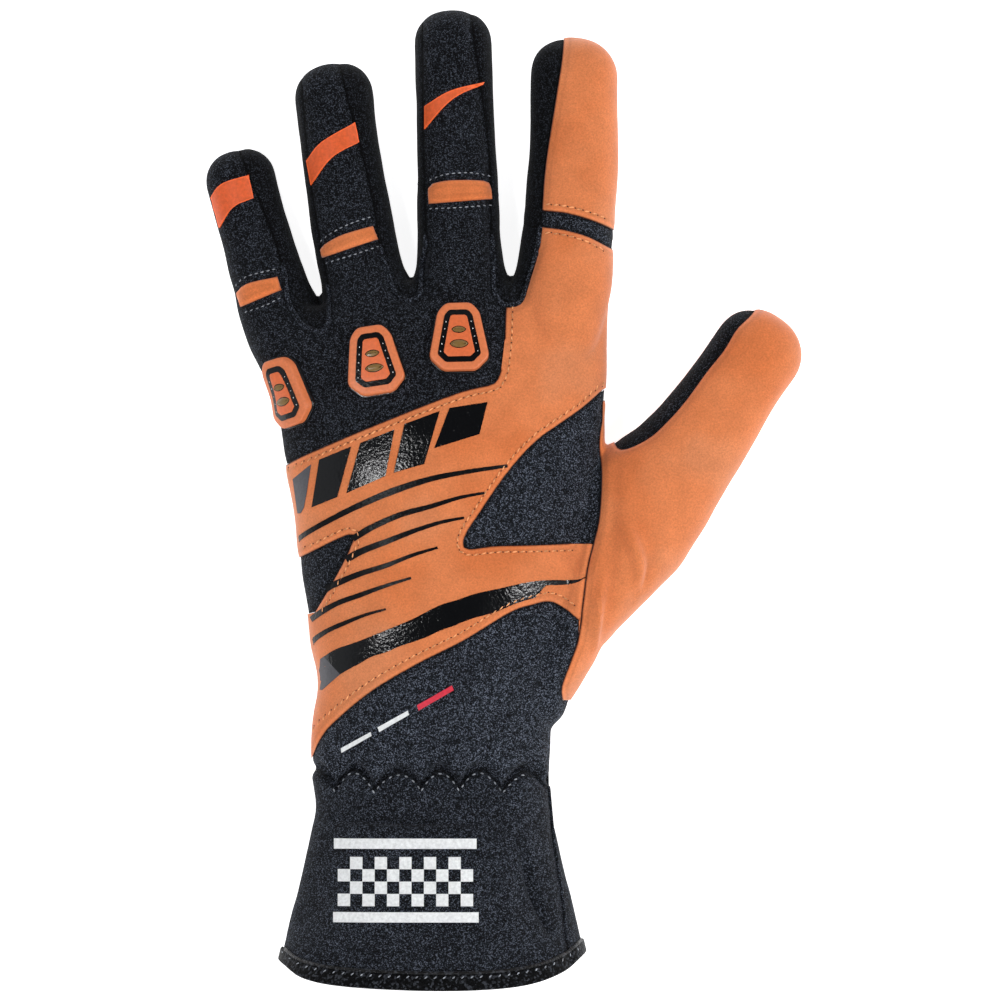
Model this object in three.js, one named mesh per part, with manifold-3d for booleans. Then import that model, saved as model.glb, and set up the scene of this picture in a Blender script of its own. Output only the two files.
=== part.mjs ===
// A karting glove for the left hand, lying on its palm, in millimetres.
// +X is the thumb's side, +Y runs to the fingertips and +Z points out of the back of the hand.
// The glove is a hollow form of cloth and suede, cut along its seams into the panels that it is sewn from,
// with moulded knuckle pads, flex strips over the finger joints and a binding round the cuff's hem.
// Across shares are of HAND_WIDTH from the hand's axis, along shares are of HAND_LENGTH from the wrist gather.
import * as THREE from "three";
import { mergeVertices } from "three/addons/utils/BufferGeometryUtils.js";
import Module from "manifold-3d";

const wasm = await Module();
wasm.setup();

// Driving sizes of the hand and cuff
const HAND_WIDTH = 98;
const HAND_LENGTH = 134.3;
const HAND_DEPTH = 34;
const WRIST_WIDTH = 67.4;
const CUFF_LENGTH = 61.4;
const CUFF_WIDTH = 86;
const CUFF_DEPTH = 46;
const HEM_CURVE = 12;

// Cloth, seams and what is sewn or bonded on
const WALL = 2;
const SEAM_GAP = 0.3;
const FLOOR_SAG = 1.2;
const PALM_SEAM_HEIGHT = 6.5;
const CUFF_SEAM_HEIGHT = 12;
const THUMB_STRIP_HEIGHT = 5;
const GATHER_LINE = -2.9;
const GATHER_PITCH = 12;
const GATHER_SWING = 5.4;
const GATHER_WIDTH = 2.8;
const FOLD_DEPTH = 0.9;
const BINDING_WIDTH = 4.8;
const BINDING_ROLL = 0.9;
const STRIP_THICKNESS = 0.9;
const PAD_LENGTH = 19.8;
const PAD_WIDTH = 17.2;
const PAD_TOP_WIDTH = 13.2;
const PAD_HEIGHT = 2.6;
const PAD_CHAMFER = 3.8;
const PAD_RIM = 2.2;
const GROOVE_WIDTH = 1.6;
const GROOVE_DEPTH = 1.1;
const VENT_DEPTH = 0.8;

// Vertices round a section
const HAND_SIDES = 32;
const FINGER_SIDES = 12;
const THUMB_SIDES = 14;
const LINING_SIDES_SHARE = 0.67;

// How square each section is: 2 is an ellipse, more is flatter
const TOP_ROUNDNESS = 2.3;
const UNDER_ROUNDNESS = 3;
// The widest line of a section, as a share of its height
const SIDE_LINE = 0.42;

// Fingers: where each leaves the hand, its lean from +Y towards the little finger in degrees, its sideways bow and
// its sway at the root in millimetres, and the places of the seams beside its back panel, as shares of its width
// from its middle.
const LITTLE = { across: -0.478, along: 0.904, lean: 15.5, length: 57.8, width: 20.4, depth: 16, bow: 0, sway: -1.6,
  leftSeam: -0.6, leftTipSeam: -0.6, rightSeam: 0.24, rightTipSeam: 0.1 };
const RING = { across: -0.233, along: 0.957, lean: 8.8, length: 74.6, width: 23, depth: 18, bow: 1.1, sway: 0,
  leftSeam: -0.42, leftTipSeam: -0.38, rightSeam: 0.3, rightTipSeam: 0.12 };
const MIDDLE = { across: 0.032, along: 1, lean: 1.8, length: 83.2, width: 22.6, depth: 18.5, bow: 0, sway: 0,
  leftSeam: -0.41, leftTipSeam: -0.38, rightSeam: 0.41, rightTipSeam: 0.24 };
const INDEX = { across: 0.322, along: 1, lean: -2.8, length: 74.9, width: 24.9, depth: 19, bow: -1.4, sway: 0,
  leftSeam: -0.31, leftTipSeam: -0.12, rightSeam: 0.6, rightTipSeam: 0.6 };
const THUMB = { across: 0.286, along: 0.234, lean: -33.9, length: 117.7, width: 26.5, depth: 22, bow: 0, sway: 3 };

// Sections of a finger: place from its root to its tip as a share of its length, width as a share of its width,
// underside and back as shares of its depth, and shift towards the little finger as a share of its sway.
const FINGER_SECTIONS = [
  { along: -0.35, width: 0.6, low: 0.3, high: 1.3, shift: 0 },
  { along: -0.12, width: 1.02, low: 0.16, high: 1.54, shift: 1 },
  { along: 0.06, width: 1.12, low: 0.14, high: 1.5, shift: 0.7 },
  { along: 0.26, width: 1.06, low: 0.1, high: 1.33, shift: 0 },
  { along: 0.6, width: 1, low: 0.01, high: 1.1, shift: 0 },
  { along: 0.78, width: 0.99, low: -0.03, high: 1.03, shift: 0 },
];
const THUMB_SECTIONS = [
  { along: -0.2, width: 0.55, low: 0.2, high: 1, shift: 0 },
  { along: -0.13, width: 0.84, low: 0.05, high: 1.25, shift: -0.2 },
  { along: 0.08, width: 0.8, low: -0.03, high: 1.35, shift: 0 },
  { along: 0.28, width: 1.06, low: -0.04, high: 1.32, shift: 0 },
  { along: 0.36, width: 1.24, low: -0.04, high: 1.28, shift: 0.2 },
  { along: 0.46, width: 1.42, low: -0.04, high: 1.22, shift: 1.1 },
  { along: 0.54, width: 1.26, low: -0.04, high: 1.17, shift: 0.6 },
  { along: 0.6, width: 1.13, low: -0.04, high: 1.12, shift: 0.15 },
  { along: 0.72, width: 1.02, low: -0.03, high: 1.06, shift: -0.1 },
  { along: 0.83, width: 0.96, low: -0.03, high: 1.02, shift: -0.1 },
];
// The dome of a fingertip: quarter turns towards the tip in degrees, its radius and how squarely it closes
const TIP_TURNS = [0, 32, 60, 84];
const TIP_RADIUS_SHARE = 0.42;
const TIP_SQUARENESS = 0.85;

// Sections of the hand from the gather to the webs: swell goes from the wrist's width at 0 to the hand's at 1,
// centre is an across share, slant lifts the thumb side's end, and low and high are shares of HAND_DEPTH.
const HAND_SECTIONS = [
  { along: 0, swell: 0.01, centre: -0.058, slant: 0, low: 0.04, high: 1.05 },
  { along: 0.1, swell: 0.02, centre: -0.05, slant: 0, low: 0, high: 1.08 },
  { along: 0.18, swell: 0.09, centre: -0.031, slant: 0, low: -0.01, high: 1.08 },
  { along: 0.26, swell: 0.25, centre: -0.022, slant: 0, low: -0.02, high: 1.07 },
  { along: 0.34, swell: 0.37, centre: -0.009, slant: 0, low: -0.03, high: 1.06 },
  { along: 0.45, swell: 0.54, centre: -0.011, slant: 0, low: -0.03, high: 1.04 },
  { along: 0.58, swell: 0.69, centre: -0.013, slant: 0, low: -0.02, high: 1.02 },
  { along: 0.8, swell: 0.9, centre: -0.03, slant: 0.01, low: 0, high: 0.98 },
  { along: 0.88, swell: 1.03, centre: -0.046, slant: 0.03, low: 0.02, high: 0.93 },
  { along: 0.95, swell: 1.18, centre: -0.066, slant: 0.06, low: 0.05, high: 0.83 },
  { along: 0.99, swell: 1.2, centre: -0.073, slant: 0.08, low: 0.12, high: 0.68 },
];
// Sections of the cuff: along is a share of CUFF_LENGTH down from the gather, and flare goes from the wrist's width
// at 0 to CUFF_WIDTH at the hem's corners.
const CUFF_CENTRE = -0.048;
const CUFF_SECTIONS = [
  { along: 1.2, flare: 1.56 },
  { along: 0.84, flare: 1 },
  { along: 0.65, flare: 0.69 },
  { along: 0.46, flare: 0.38 },
  { along: 0.3, flare: 0.15 },
  { along: 0.16, flare: 0 },
];
// The hem in plan: across is a share of CUFF_WIDTH from the cuff's axis and rise is a share of HEM_CURVE.
const HEM_LINE = [
  { across: -0.64, rise: 1.5 },
  { across: -0.5, rise: 0.62 },
  { across: -0.42, rise: 0.26 },
  { across: -0.26, rise: 0.08 },
  { across: 0.04, rise: 0 },
  { across: 0.28, rise: 0.1 },
  { across: 0.42, rise: 0.4 },
  { across: 0.5, rise: 0.85 },
  { across: 0.64, rise: 1.8 },
];

// Seams of the hand's panels in plan, each point an across share and an along share.
const SUEDE_LOWER_EDGE = [
  [-0.9, 0.012], [-0.41, 0.012], [-0.379, 0.065], [-0.335, 0.104], [-0.228, 0.168], [-0.094, 0.226],
  [0.04, 0.275], [0.174, 0.334], [0.24, 0.351], [0.29, 0.358], [0.328, 0.346], [0.375, 0.319],
];
const WRIST_SIDE_EDGE = [[0.375, 0.278], [0.36, 0.22], [0.4, 0.18]];
const SUEDE_UPPER_EDGE = [
  [-0.6, 0.59], [-0.469, 0.653], [-0.373, 0.686], [-0.277, 0.716], [-0.173, 0.747], [-0.07, 0.777],
  [0.04, 0.806], [0.116, 0.819], [0.137, 0.829], [0.15, 0.852],
];
const SUEDE_SIDE_EDGE = [[0.16, 0.917], [0.163, 0.985]];
const SIDE_INSET = [[-0.6, 0.42], [-0.451, 0.447], [-0.295, 0.5], [-0.291, 0.475], [-0.342, 0.402], [-0.395, 0.336],
  [-0.6, 0.3]];
const WEB_INSET = [[0.6, 0.88], [0.447, 0.808], [0.388, 0.77], [0.314, 0.732], [0.262, 0.705], [0.202, 0.662],
  [0.143, 0.607], [0.083, 0.542], [0.053, 0.509], [0.04, 0.483], [0.055, 0.471], [0.128, 0.477], [0.239, 0.479],
  [0.35, 0.482], [0.6, 0.482]];
const THUMB_SEAM = [[0.46, 0.79], [0.448, 0.785], [0.446, 0.745], [0.438, 0.7], [0.44, 0.617], [0.433, 0.536],
  [0.417, 0.483], [0.4, 0.43], [0.387, 0.353], [0.375, 0.278], [0.354, 0.232], [0.328, 0.177], [0.33, 0.149]];
const THUMB_STRIP_EDGE = [[0.472, 0.712], [0.499, 0.683], [0.574, 0.705], [0.633, 0.743], [0.685, 0.786],
  [0.745, 0.846], [0.797, 0.894], [0.834, 0.938], [0.879, 0.971], [0.93, 1.02]];
const INDEX_BAND_TOP = [[0.22, 1.196], [0.274, 1.189], [0.33, 1.185], [0.4, 1.172], [0.469, 1.152], [0.55, 1.12]];
const INDEX_BAND_FOOT = [[0.2, 1.165], [0.265, 1.156], [0.33, 1.15], [0.4, 1.136], [0.464, 1.113], [0.55, 1.08]];
const PALM_WRIST_SEAM = 0.12;
// Soft folds that press into the cloth: the thumb's base, and the front and side of the cuff
const FOLDS = [
  { from: [0.481, 0.638], to: [0.44, 0.255], width: 3 },
  { from: [0.536, 0.532], to: [0.525, 0.362], width: 2.5 },
  { from: [-0.335, -0.102], to: [0.073, -0.111], width: 3.5 },
  { from: [0.21, -0.17], to: [0.289, -0.34], width: 3 },
];
const CUFF_SIDE_SEAM = [[0.284, -0.02], [0.3, -0.14], [0.332, -0.3], [0.36, -0.52]];

// Where the pads sit, as shares of the hand, with the lean of each and its width as a share of PAD_WIDTH
const PADS = [
  { name: "knuckle_pad_little", across: -0.471, along: 0.805, lean: 20, narrow: 0.88 },
  { name: "knuckle_pad_ring", across: -0.22, along: 0.87, lean: 9, narrow: 0.97 },
  { name: "knuckle_pad_middle", across: 0.026, along: 0.919, lean: 1, narrow: 1 },
];
// The flex strips: each end's place as shares of its finger's width and length
const FLEX_STRIPS = [
  { name: "flex_strip_little", finger: LITTLE, left: [-0.46, 0.276], right: [0.135, 0.302], height: 3.9 },
  { name: "flex_strip_ring", finger: RING, left: [-0.43, 0.275], right: [0.27, 0.325], height: 3.9 },
  { name: "flex_strip_middle", finger: MIDDLE, left: [-0.363, 0.36], right: [0.42, 0.364], height: 5 },
];

const radians = THREE.MathUtils.degToRad;
const between = THREE.MathUtils.lerp;

// A closed three.js geometry as a solid that can be joined and cut.
function solidOf(geometry) {
  const plain = geometry.clone();
  plain.deleteAttribute("normal");
  plain.deleteAttribute("uv");
  const merged = mergeVertices(plain, 1e-4);
  return new wasm.Manifold(new wasm.Mesh({
    numProp: 3,
    vertProperties: merged.attributes.position.array,
    triVerts: new Uint32Array(merged.index.array),
  }));
}

// A solid's triangles as a three.js geometry.
function geometryOf(solid) {
  const mesh = solid.getMesh();
  const geometry = new THREE.BufferGeometry();
  geometry.setAttribute("position", new THREE.BufferAttribute(mesh.vertProperties, 3));
  geometry.setIndex(new THREE.BufferAttribute(mesh.triVerts, 1));
  geometry.computeVertexNormals();
  return geometry;
}

// A closed skin through rings of points, with a fan over each end.
function loft(rings) {
  const sides = rings[0].length;
  const points = rings.flat();
  const centres = [rings[0], rings.at(-1)].map((ring) =>
    ring.reduce((sum, point) => sum.add(point), new THREE.Vector3()).divideScalar(sides));
  const first = points.length;
  const faces = [];
  for (let ring = 0; ring < rings.length - 1; ring++) {
    for (let side = 0; side < sides; side++) {
      const next = (side + 1) % sides;
      const [a, b] = [ring * sides + side, ring * sides + next];
      faces.push(a, b + sides, b, a, a + sides, b + sides);
    }
  }
  const last = (rings.length - 1) * sides;
  for (let side = 0; side < sides; side++) {
    const next = (side + 1) % sides;
    faces.push(first, side, next, first + 1, last + next, last + side);
  }
  const geometry = new THREE.BufferGeometry().setFromPoints([...points, ...centres]);
  geometry.setIndex(faces);
  return solidOf(geometry);
}

// One ring of a section that stands on the line from left to right in plan, between two heights.
function sectionRing(left, right, low, high, sides) {
  const middle = left.clone().add(right).multiplyScalar(0.5);
  const half = right.clone().sub(left).multiplyScalar(0.5);
  const sideHeight = between(low, high, SIDE_LINE);
  const points = [];
  for (let side = 0; side < sides; side++) {
    const turn = (side / sides) * 2 * Math.PI;
    const [c, s] = [Math.cos(turn), Math.sin(turn)];
    const power = 2 / (s > 0 ? TOP_ROUNDNESS : UNDER_ROUNDNESS);
    const rise = s > 0 ? high - sideHeight : sideHeight - low;
    const out = Math.sign(c) * Math.abs(c) ** power;
    const up = Math.sign(s) * Math.abs(s) ** power;
    const plan = middle.clone().addScaledVector(half, out);
    points.push(new THREE.Vector3(plan.x, plan.y, sideHeight + up * rise));
  }
  return points;
}

const corner = (x, y) => new THREE.Vector2(x, y);

// A point of the plan from shares of the hand's width and length.
function handPoint(across, along) {
  return new THREE.Vector2(across * HAND_WIDTH, along * HAND_LENGTH);
}

function handOutline(points) {
  return points.map(([across, along]) => handPoint(across, along));
}

// The middle line of a finger in plan, and the direction across it.
function fingerPlace(finger, along) {
  const lean = radians(finger.lean);
  const forward = new THREE.Vector2(-Math.sin(lean), Math.cos(lean));
  const sideways = new THREE.Vector2(forward.y, -forward.x);
  const bow = -finger.bow * Math.sin(Math.PI * THREE.MathUtils.clamp(along, 0, 1));
  const place = handPoint(finger.across, finger.along)
    .addScaledVector(forward, along * finger.length)
    .addScaledVector(sideways, bow);
  return { place, sideways };
}

function fingerPoint(finger, across, along) {
  const { place, sideways } = fingerPlace(finger, along);
  return place.addScaledVector(sideways, across * finger.width);
}

// The lining's form needs fewer sides than the outside.
function sidesAt(sides, inset) {
  return inset > 0 ? Math.round(sides * LINING_SIDES_SHARE) : sides;
}

// A finger's form, drawn in by inset all round.
function fingerForm(finger, sections, sides, inset) {
  const { length, width, depth } = finger;
  const tipRadius = TIP_RADIUS_SHARE * width - inset;
  const domeStart = length - inset - tipRadius;
  const rows = sections
    .filter(({ along }) => along * length < domeStart - 1)
    .map((row) => ({
      along: row.along * length,
      half: (row.width * width) / 2 - inset,
      low: row.low * depth + inset,
      high: row.high * depth - inset,
      shift: row.shift * finger.sway,
    }));
  const last = rows.at(-1);
  const tipMiddle = between(last.low, last.high, SIDE_LINE);
  for (const degrees of TIP_TURNS) {
    const share = Math.cos(radians(degrees)) ** TIP_SQUARENESS;
    rows.push({
      along: domeStart + tipRadius * Math.sin(radians(degrees)),
      half: last.half * share,
      low: between(tipMiddle, last.low, share),
      high: between(tipMiddle, last.high, share),
      shift: last.shift,
    });
  }
  return loft(rows.map(({ along, half, low, high, shift }) => {
    const { place, sideways } = fingerPlace(finger, along / length);
    const left = place.clone().addScaledVector(sideways, -half - shift);
    const right = place.clone().addScaledVector(sideways, half - shift);
    return sectionRing(left, right, low, high, sidesAt(sides, inset));
  }));
}

// The hand and cuff as one form, drawn in by inset all round. Its cuff end stays open.
function handForm(inset) {
  const rings = [];
  const sides = sidesAt(HAND_SIDES, inset);
  const wristHalf = WRIST_WIDTH / 2;
  const wrist = HAND_SECTIONS[0];
  for (const { along, flare } of CUFF_SECTIONS) {
    const half = between(wristHalf, CUFF_WIDTH / 2, flare) - inset;
    const middle = handPoint(CUFF_CENTRE, 0).add(corner(0, -along * CUFF_LENGTH));
    const low = between(wrist.low * HAND_DEPTH, -FLOOR_SAG, Math.min(1, flare * 1.6)) + inset;
    const high = between(wrist.high * HAND_DEPTH, CUFF_DEPTH, flare) - inset;
    const [left, right] = [-half, half].map((x) => middle.clone().add(corner(x, 0)));
    rings.push(sectionRing(left, right, low, high, sides));
  }
  for (const row of HAND_SECTIONS) {
    const half = between(wristHalf, HAND_WIDTH / 2, row.swell) - inset;
    const end = row === HAND_SECTIONS.at(-1) ? inset : 0;
    const middle = handPoint(row.centre, row.along + row.slant / 2).add(corner(0, -end));
    const slope = corner(half, (row.slant * HAND_LENGTH) / 2);
    const low = row.low * HAND_DEPTH - FLOOR_SAG * (1 - row.low) + inset;
    const high = row.high * HAND_DEPTH - inset;
    rings.push(sectionRing(middle.clone().sub(slope), middle.clone().add(slope), low, high, sides));
  }
  return loft(rings);
}

// A block that stands on an outline in plan, between two heights.
function prism(outline, low = -20, high = 120) {
  const shape = new THREE.Shape(outline);
  const geometry = new THREE.ExtrudeGeometry(shape, { depth: high - low, bevelEnabled: false });
  geometry.translate(0, 0, low);
  return solidOf(geometry);
}

// The outline moved outwards by a distance, or inwards where it is negative.
function grown(outline, by) {
  const turns = THREE.ShapeUtils.area(outline) < 0 ? [...outline].reverse() : outline;
  return turns.map((point, i) => {
    const before = turns.at(i - 1);
    const after = turns[(i + 1) % turns.length];
    const [inward, onward] = [point.clone().sub(before).normalize(), after.clone().sub(point).normalize()];
    const normal = new THREE.Vector2(inward.y + onward.y, -inward.x - onward.x).normalize();
    const spread = Math.max(0.5, normal.dot(new THREE.Vector2(inward.y, -inward.x)));
    return point.clone().addScaledVector(normal, by / spread);
  });
}

function box(low, high) {
  const size = high.clone().sub(low);
  const geometry = new THREE.BoxGeometry(size.x, size.y, size.z);
  geometry.translate(...low.clone().add(high).multiplyScalar(0.5));
  return solidOf(geometry);
}

// Everything below a height
function below(height) {
  return box(new THREE.Vector3(-300, -300, -60), new THREE.Vector3(300, 300, height));
}

// The zigzag line of the elastic in plan, moved along the hand by a distance, from the left to the right.
function gatherLine(by) {
  const points = [];
  for (let swing = -15; swing <= 15; swing++) {
    const up = swing % 2 === 0 ? 1 : -1;
    points.push(corner((swing * GATHER_PITCH) / 2 + GATHER_LINE, GATHER_LINE + (up * GATHER_SWING) / 2 + by));
  }
  return points;
}

// The whole glove as one filled form, drawn in by inset and flattened where it rests.
function gloveForm(inset) {
  const fingers = [LITTLE, RING, MIDDLE, INDEX].map((finger) =>
    fingerForm(finger, FINGER_SECTIONS, FINGER_SIDES, inset));
  const thumb = fingerForm(THUMB, THUMB_SECTIONS, THUMB_SIDES, inset);
  return [...fingers, thumb]
    .reduce((whole, piece) => whole.add(piece), handForm(inset))
    .subtract(below(Math.max(0, inset)));
}

// The line of the hem in plan, moved up the cuff by a distance and closed far below it.
function hemOutline(up) {
  const axis = CUFF_CENTRE * HAND_WIDTH;
  const line = HEM_LINE.map(({ across, rise }) =>
    corner(axis + across * CUFF_WIDTH, -CUFF_LENGTH - 1.3 + rise * HEM_CURVE + up));
  const foot = -2 * CUFF_LENGTH;
  return [...line, corner(line.at(-1).x, foot), corner(line[0].x, foot)];
}

// A fold in plan: a long diamond between its two ends.
function foldOutline({ from, to, width }) {
  const [start, end] = handOutline([from, to]);
  const along = end.clone().sub(start).normalize();
  const half = corner(-along.y, along.x).multiplyScalar(width / 2);
  const middle = start.clone().add(end).multiplyScalar(0.5);
  return [start, middle.clone().sub(half), end, middle.clone().add(half)];
}

const outerForm = gloveForm(0);
const gatherBand = [...gatherLine(-GATHER_WIDTH / 2), ...gatherLine(GATHER_WIDTH / 2).reverse()];
const pressed = FOLDS.map((fold) => prism(foldOutline(fold), PALM_SEAM_HEIGHT))
  .reduce((all, fold) => all.add(fold), prism(gatherBand))
  .subtract(gloveForm(FOLD_DEPTH));
let cloth = outerForm.subtract(gloveForm(WALL)).subtract(pressed);

// The largest body of a solid, so that no sliver is kept beside a panel.
function largest(solid) {
  return solid.decompose().sort((a, b) => b.volume() - a.volume())[0];
}

// Cuts one panel out of the cloth that is left, and leaves a seam gap round it.
function takePanel(outline, low = -20, high = 120) {
  const panel = largest(cloth.intersect(prism(outline, low, high)));
  cloth = cloth.subtract(prism(grown(outline, SEAM_GAP), low - SEAM_GAP, high + SEAM_GAP));
  return panel;
}

const farLeft = -HAND_WIDTH;
const farRight = HAND_WIDTH * 1.5;
const nearest = -CUFF_LENGTH - 40;

function seamPoints(finger, side) {
  const alongs = [1.15, 0.95, 0.75, 0.5, 0.25, 0.02];
  return alongs.map((along) => {
    const share = THREE.MathUtils.smoothstep(along, 0.5, 1);
    const across = between(finger[side + "Seam"], finger[side + "TipSeam"], share);
    return fingerPoint(finger, across, along);
  });
}

// The side walls between two fingers: down one finger's seam, round the web and up the next one's.
function fourchetteOutline(leftFinger, rightFinger) {
  const down = seamPoints(leftFinger, "right");
  const up = seamPoints(rightFinger, "left").reverse();
  const web = down.at(-1).clone().add(up[0]).multiplyScalar(0.5).add(corner(0, -5));
  return [...down, web, ...up];
}

const panels = [];
const addPanel = (name, material, solid) => panels.push({ name, material, solid });

const MATERIALS = {
  knit: new THREE.MeshStandardMaterial({ color: "#26292f", roughness: 0.85, metalness: 0 }),
  suede: new THREE.MeshStandardMaterial({ color: "#d68052", roughness: 0.8, metalness: 0 }),
  palm_suede: new THREE.MeshStandardMaterial({ color: "#1d1f22", roughness: 0.85, metalness: 0 }),
  pad_rubber: new THREE.MeshStandardMaterial({ color: "#d9713c", roughness: 0.45, metalness: 0 }),
  flex_strip: new THREE.MeshStandardMaterial({ color: "#d47747", roughness: 0.7, metalness: 0 }),
  binding: new THREE.MeshStandardMaterial({ color: "#222428", roughness: 0.6, metalness: 0 }),
};

// The binding is folded over the hem, so it is thicker than the cloth inside it.
const hemBand = prism(hemOutline(BINDING_WIDTH)).subtract(prism(hemOutline(0)));
const binding = largest(gloveForm(-BINDING_ROLL).subtract(gloveForm(WALL + BINDING_ROLL)).intersect(hemBand));
cloth = cloth.subtract(prism(hemOutline(BINDING_WIDTH + SEAM_GAP)));

// Cuff: the back panel, and the palm side with the gusset that shows beside the thumb
const cuffSideSeam = handOutline(CUFF_SIDE_SEAM);
const cuffTop = gatherLine(0);
const [cuffLeft, cuffRight] = [cuffTop[0], cuffTop.at(-1)];
addPanel("cuff_back", "knit", takePanel([
  ...cuffTop.filter(({ x }) => x < cuffSideSeam[0].x), ...cuffSideSeam,
  corner(cuffSideSeam.at(-1).x, nearest), corner(cuffLeft.x, nearest),
], CUFF_SEAM_HEIGHT));
addPanel("cuff_gusset", "knit", takePanel([
  ...cuffTop, corner(cuffRight.x, nearest), corner(cuffLeft.x, nearest),
]));

// Thumb: the knit strip along its inner side and the suede that wraps the rest
const thumbSeam = handOutline(THUMB_SEAM);
const aboveThumb = [corner(farRight, 1.2 * HAND_LENGTH), ...handOutline([[0.62, 1.2], [0.5, 0.8]])];
addPanel("thumb_strip", "knit", takePanel([...handOutline(THUMB_STRIP_EDGE), ...aboveThumb], THUMB_STRIP_HEIGHT));
addPanel("thumb_suede", "suede", takePanel([...thumbSeam, corner(farRight, thumbSeam.at(-1).y), ...aboveThumb]));

addPanel("palm", "palm_suede", takePanel([
  corner(farLeft, PALM_WRIST_SEAM * HAND_LENGTH), corner(farRight, PALM_WRIST_SEAM * HAND_LENGTH),
  corner(farRight, 2 * HAND_LENGTH), corner(farLeft, 2 * HAND_LENGTH),
], -20, PALM_SEAM_HEIGHT));
addPanel("wrist", "knit", takePanel([
  ...handOutline(SUEDE_LOWER_EDGE), ...handOutline(WRIST_SIDE_EDGE), corner(farRight, WRIST_SIDE_EDGE.at(-1)[1] * HAND_LENGTH),
  corner(farRight, nearest), corner(farLeft, nearest),
]));
addPanel("side_inset", "knit", takePanel(handOutline(SIDE_INSET)));
addPanel("web_inset", "knit", takePanel(handOutline(WEB_INSET)));

// Side walls between the fingers, before the backs that they meet
addPanel("fourchette_little_ring", "knit", takePanel(fourchetteOutline(LITTLE, RING)));
addPanel("fourchette_ring_middle", "knit", takePanel(fourchetteOutline(RING, MIDDLE)));
addPanel("fourchette_middle_index", "knit", takePanel(fourchetteOutline(MIDDLE, INDEX)));

// Index finger: suede tip, knit flex band, and the suede that runs on over the hand
const beyondIndex = handPoint(0.2, 1.7);
addPanel("index_tip", "suede", takePanel([
  ...handOutline(INDEX_BAND_TOP), corner(farRight, beyondIndex.y), beyondIndex,
]));
addPanel("index_band", "knit", takePanel([
  ...handOutline(INDEX_BAND_FOOT), ...handOutline(INDEX_BAND_TOP).reverse().map((point) => point.add(corner(0, 3))),
]));
const indexSide = seamPoints(INDEX, "left").slice(3).reverse();
addPanel("hand_suede", "suede", takePanel([
  ...handOutline(SUEDE_UPPER_EDGE), ...handOutline(SUEDE_SIDE_EDGE), ...indexSide,
  corner(farRight, indexSide.at(-1).y), corner(farRight, 0), corner(farLeft, 0), corner(farLeft, 0.5 * HAND_LENGTH),
]));
addPanel("hand_back", "knit", largest(cloth));
addPanel("hem_binding", "binding", binding);

// Bands that lie on the outside of the cloth
const stripBottom = gloveForm(-SEAM_GAP);
const stripTop = gloveForm(-SEAM_GAP - STRIP_THICKNESS);
const onTheCloth = stripTop.subtract(stripBottom);
for (const { name, finger, left, right, height } of FLEX_STRIPS) {
  const reach = height / 2 / finger.length;
  const middle = [(left[0] + right[0]) / 2, (left[1] + right[1]) / 2 + 0.4 * reach];
  const line = [left, middle, right];
  const outline = [...line.map(([across, along]) => fingerPoint(finger, across, along - reach)),
    ...line.map(([across, along]) => fingerPoint(finger, across, along + reach)).reverse()];
  addPanel(name, "flex_strip", largest(onTheCloth.intersect(prism(outline, PALM_SEAM_HEIGHT + 3))));
}

// Knuckle pads: a block with chamfered corners, a groove round its plate and two lens-shaped vents
const outerMesh = new THREE.Mesh(geometryOf(outerForm), new THREE.MeshBasicMaterial());
function surfaceAt(plan) {
  const down = new THREE.Raycaster(new THREE.Vector3(plan.x, plan.y, 100), new THREE.Vector3(0, 0, -1));
  return down.intersectObject(outerMesh)[0];
}

// A pad's outline, drawn in by inset on every side: chamfered at its foot and rounder at its top.
function padOutline(narrow, inset) {
  const [foot, top] = [(PAD_WIDTH * narrow) / 2 - inset, (PAD_TOP_WIDTH * narrow) / 2 - inset];
  const half = PAD_LENGTH / 2 - inset;
  const cut = PAD_CHAMFER * (1 - inset / 5.5);
  const right = [[foot - cut, -half], [foot, -half + cut], [top, half - 0.85 * cut], [top - 0.3 * cut, half - 0.25 * cut],
    [top - 0.8 * cut, half]];
  const left = [...right].reverse().map(([x, y]) => [-x, y]);
  return [...right, ...left].map(([x, y]) => corner(x, y));
}

function ventOutline(width, height, y) {
  const points = [];
  for (let step = 0; step < 8; step++) {
    const turn = (step / 8) * 2 * Math.PI;
    points.push(corner((width / 2) * Math.cos(turn), y + (height / 2) * Math.sin(turn)));
  }
  return points;
}

for (const { name, across, along, lean, narrow } of PADS) {
  const bevel = 0.7;
  const sink = 6;
  const base = new THREE.ExtrudeGeometry(new THREE.Shape(padOutline(narrow, bevel)), {
    depth: PAD_HEIGHT + sink - bevel, bevelThickness: bevel, bevelSize: bevel, bevelSegments: 1,
  });
  base.translate(0, 0, -sink);
  const grooveFloor = PAD_HEIGHT - GROOVE_DEPTH;
  const groove = prism(padOutline(narrow, PAD_RIM), grooveFloor)
    .subtract(prism(padOutline(narrow, PAD_RIM + GROOVE_WIDTH), grooveFloor - 1));
  const vents = prism(ventOutline(3.7, 1.7, 1.9), PAD_HEIGHT - VENT_DEPTH)
    .add(prism(ventOutline(5.2, 2.3, -2.6), PAD_HEIGHT - VENT_DEPTH));
  const spot = surfaceAt(handPoint(across, along));
  const up = spot.face.normal.clone().normalize();
  const forward = new THREE.Vector3(-Math.sin(radians(lean)), Math.cos(radians(lean)), 0);
  forward.addScaledVector(up, -forward.dot(up)).normalize();
  const frame = new THREE.Matrix4()
    .makeBasis(new THREE.Vector3().crossVectors(forward, up), forward, up)
    .setPosition(spot.point);
  const placed = solidOf(base).subtract(groove).subtract(vents).transform(frame.elements);
  addPanel(name, "pad_rubber", largest(placed.subtract(stripBottom)));
}

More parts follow.
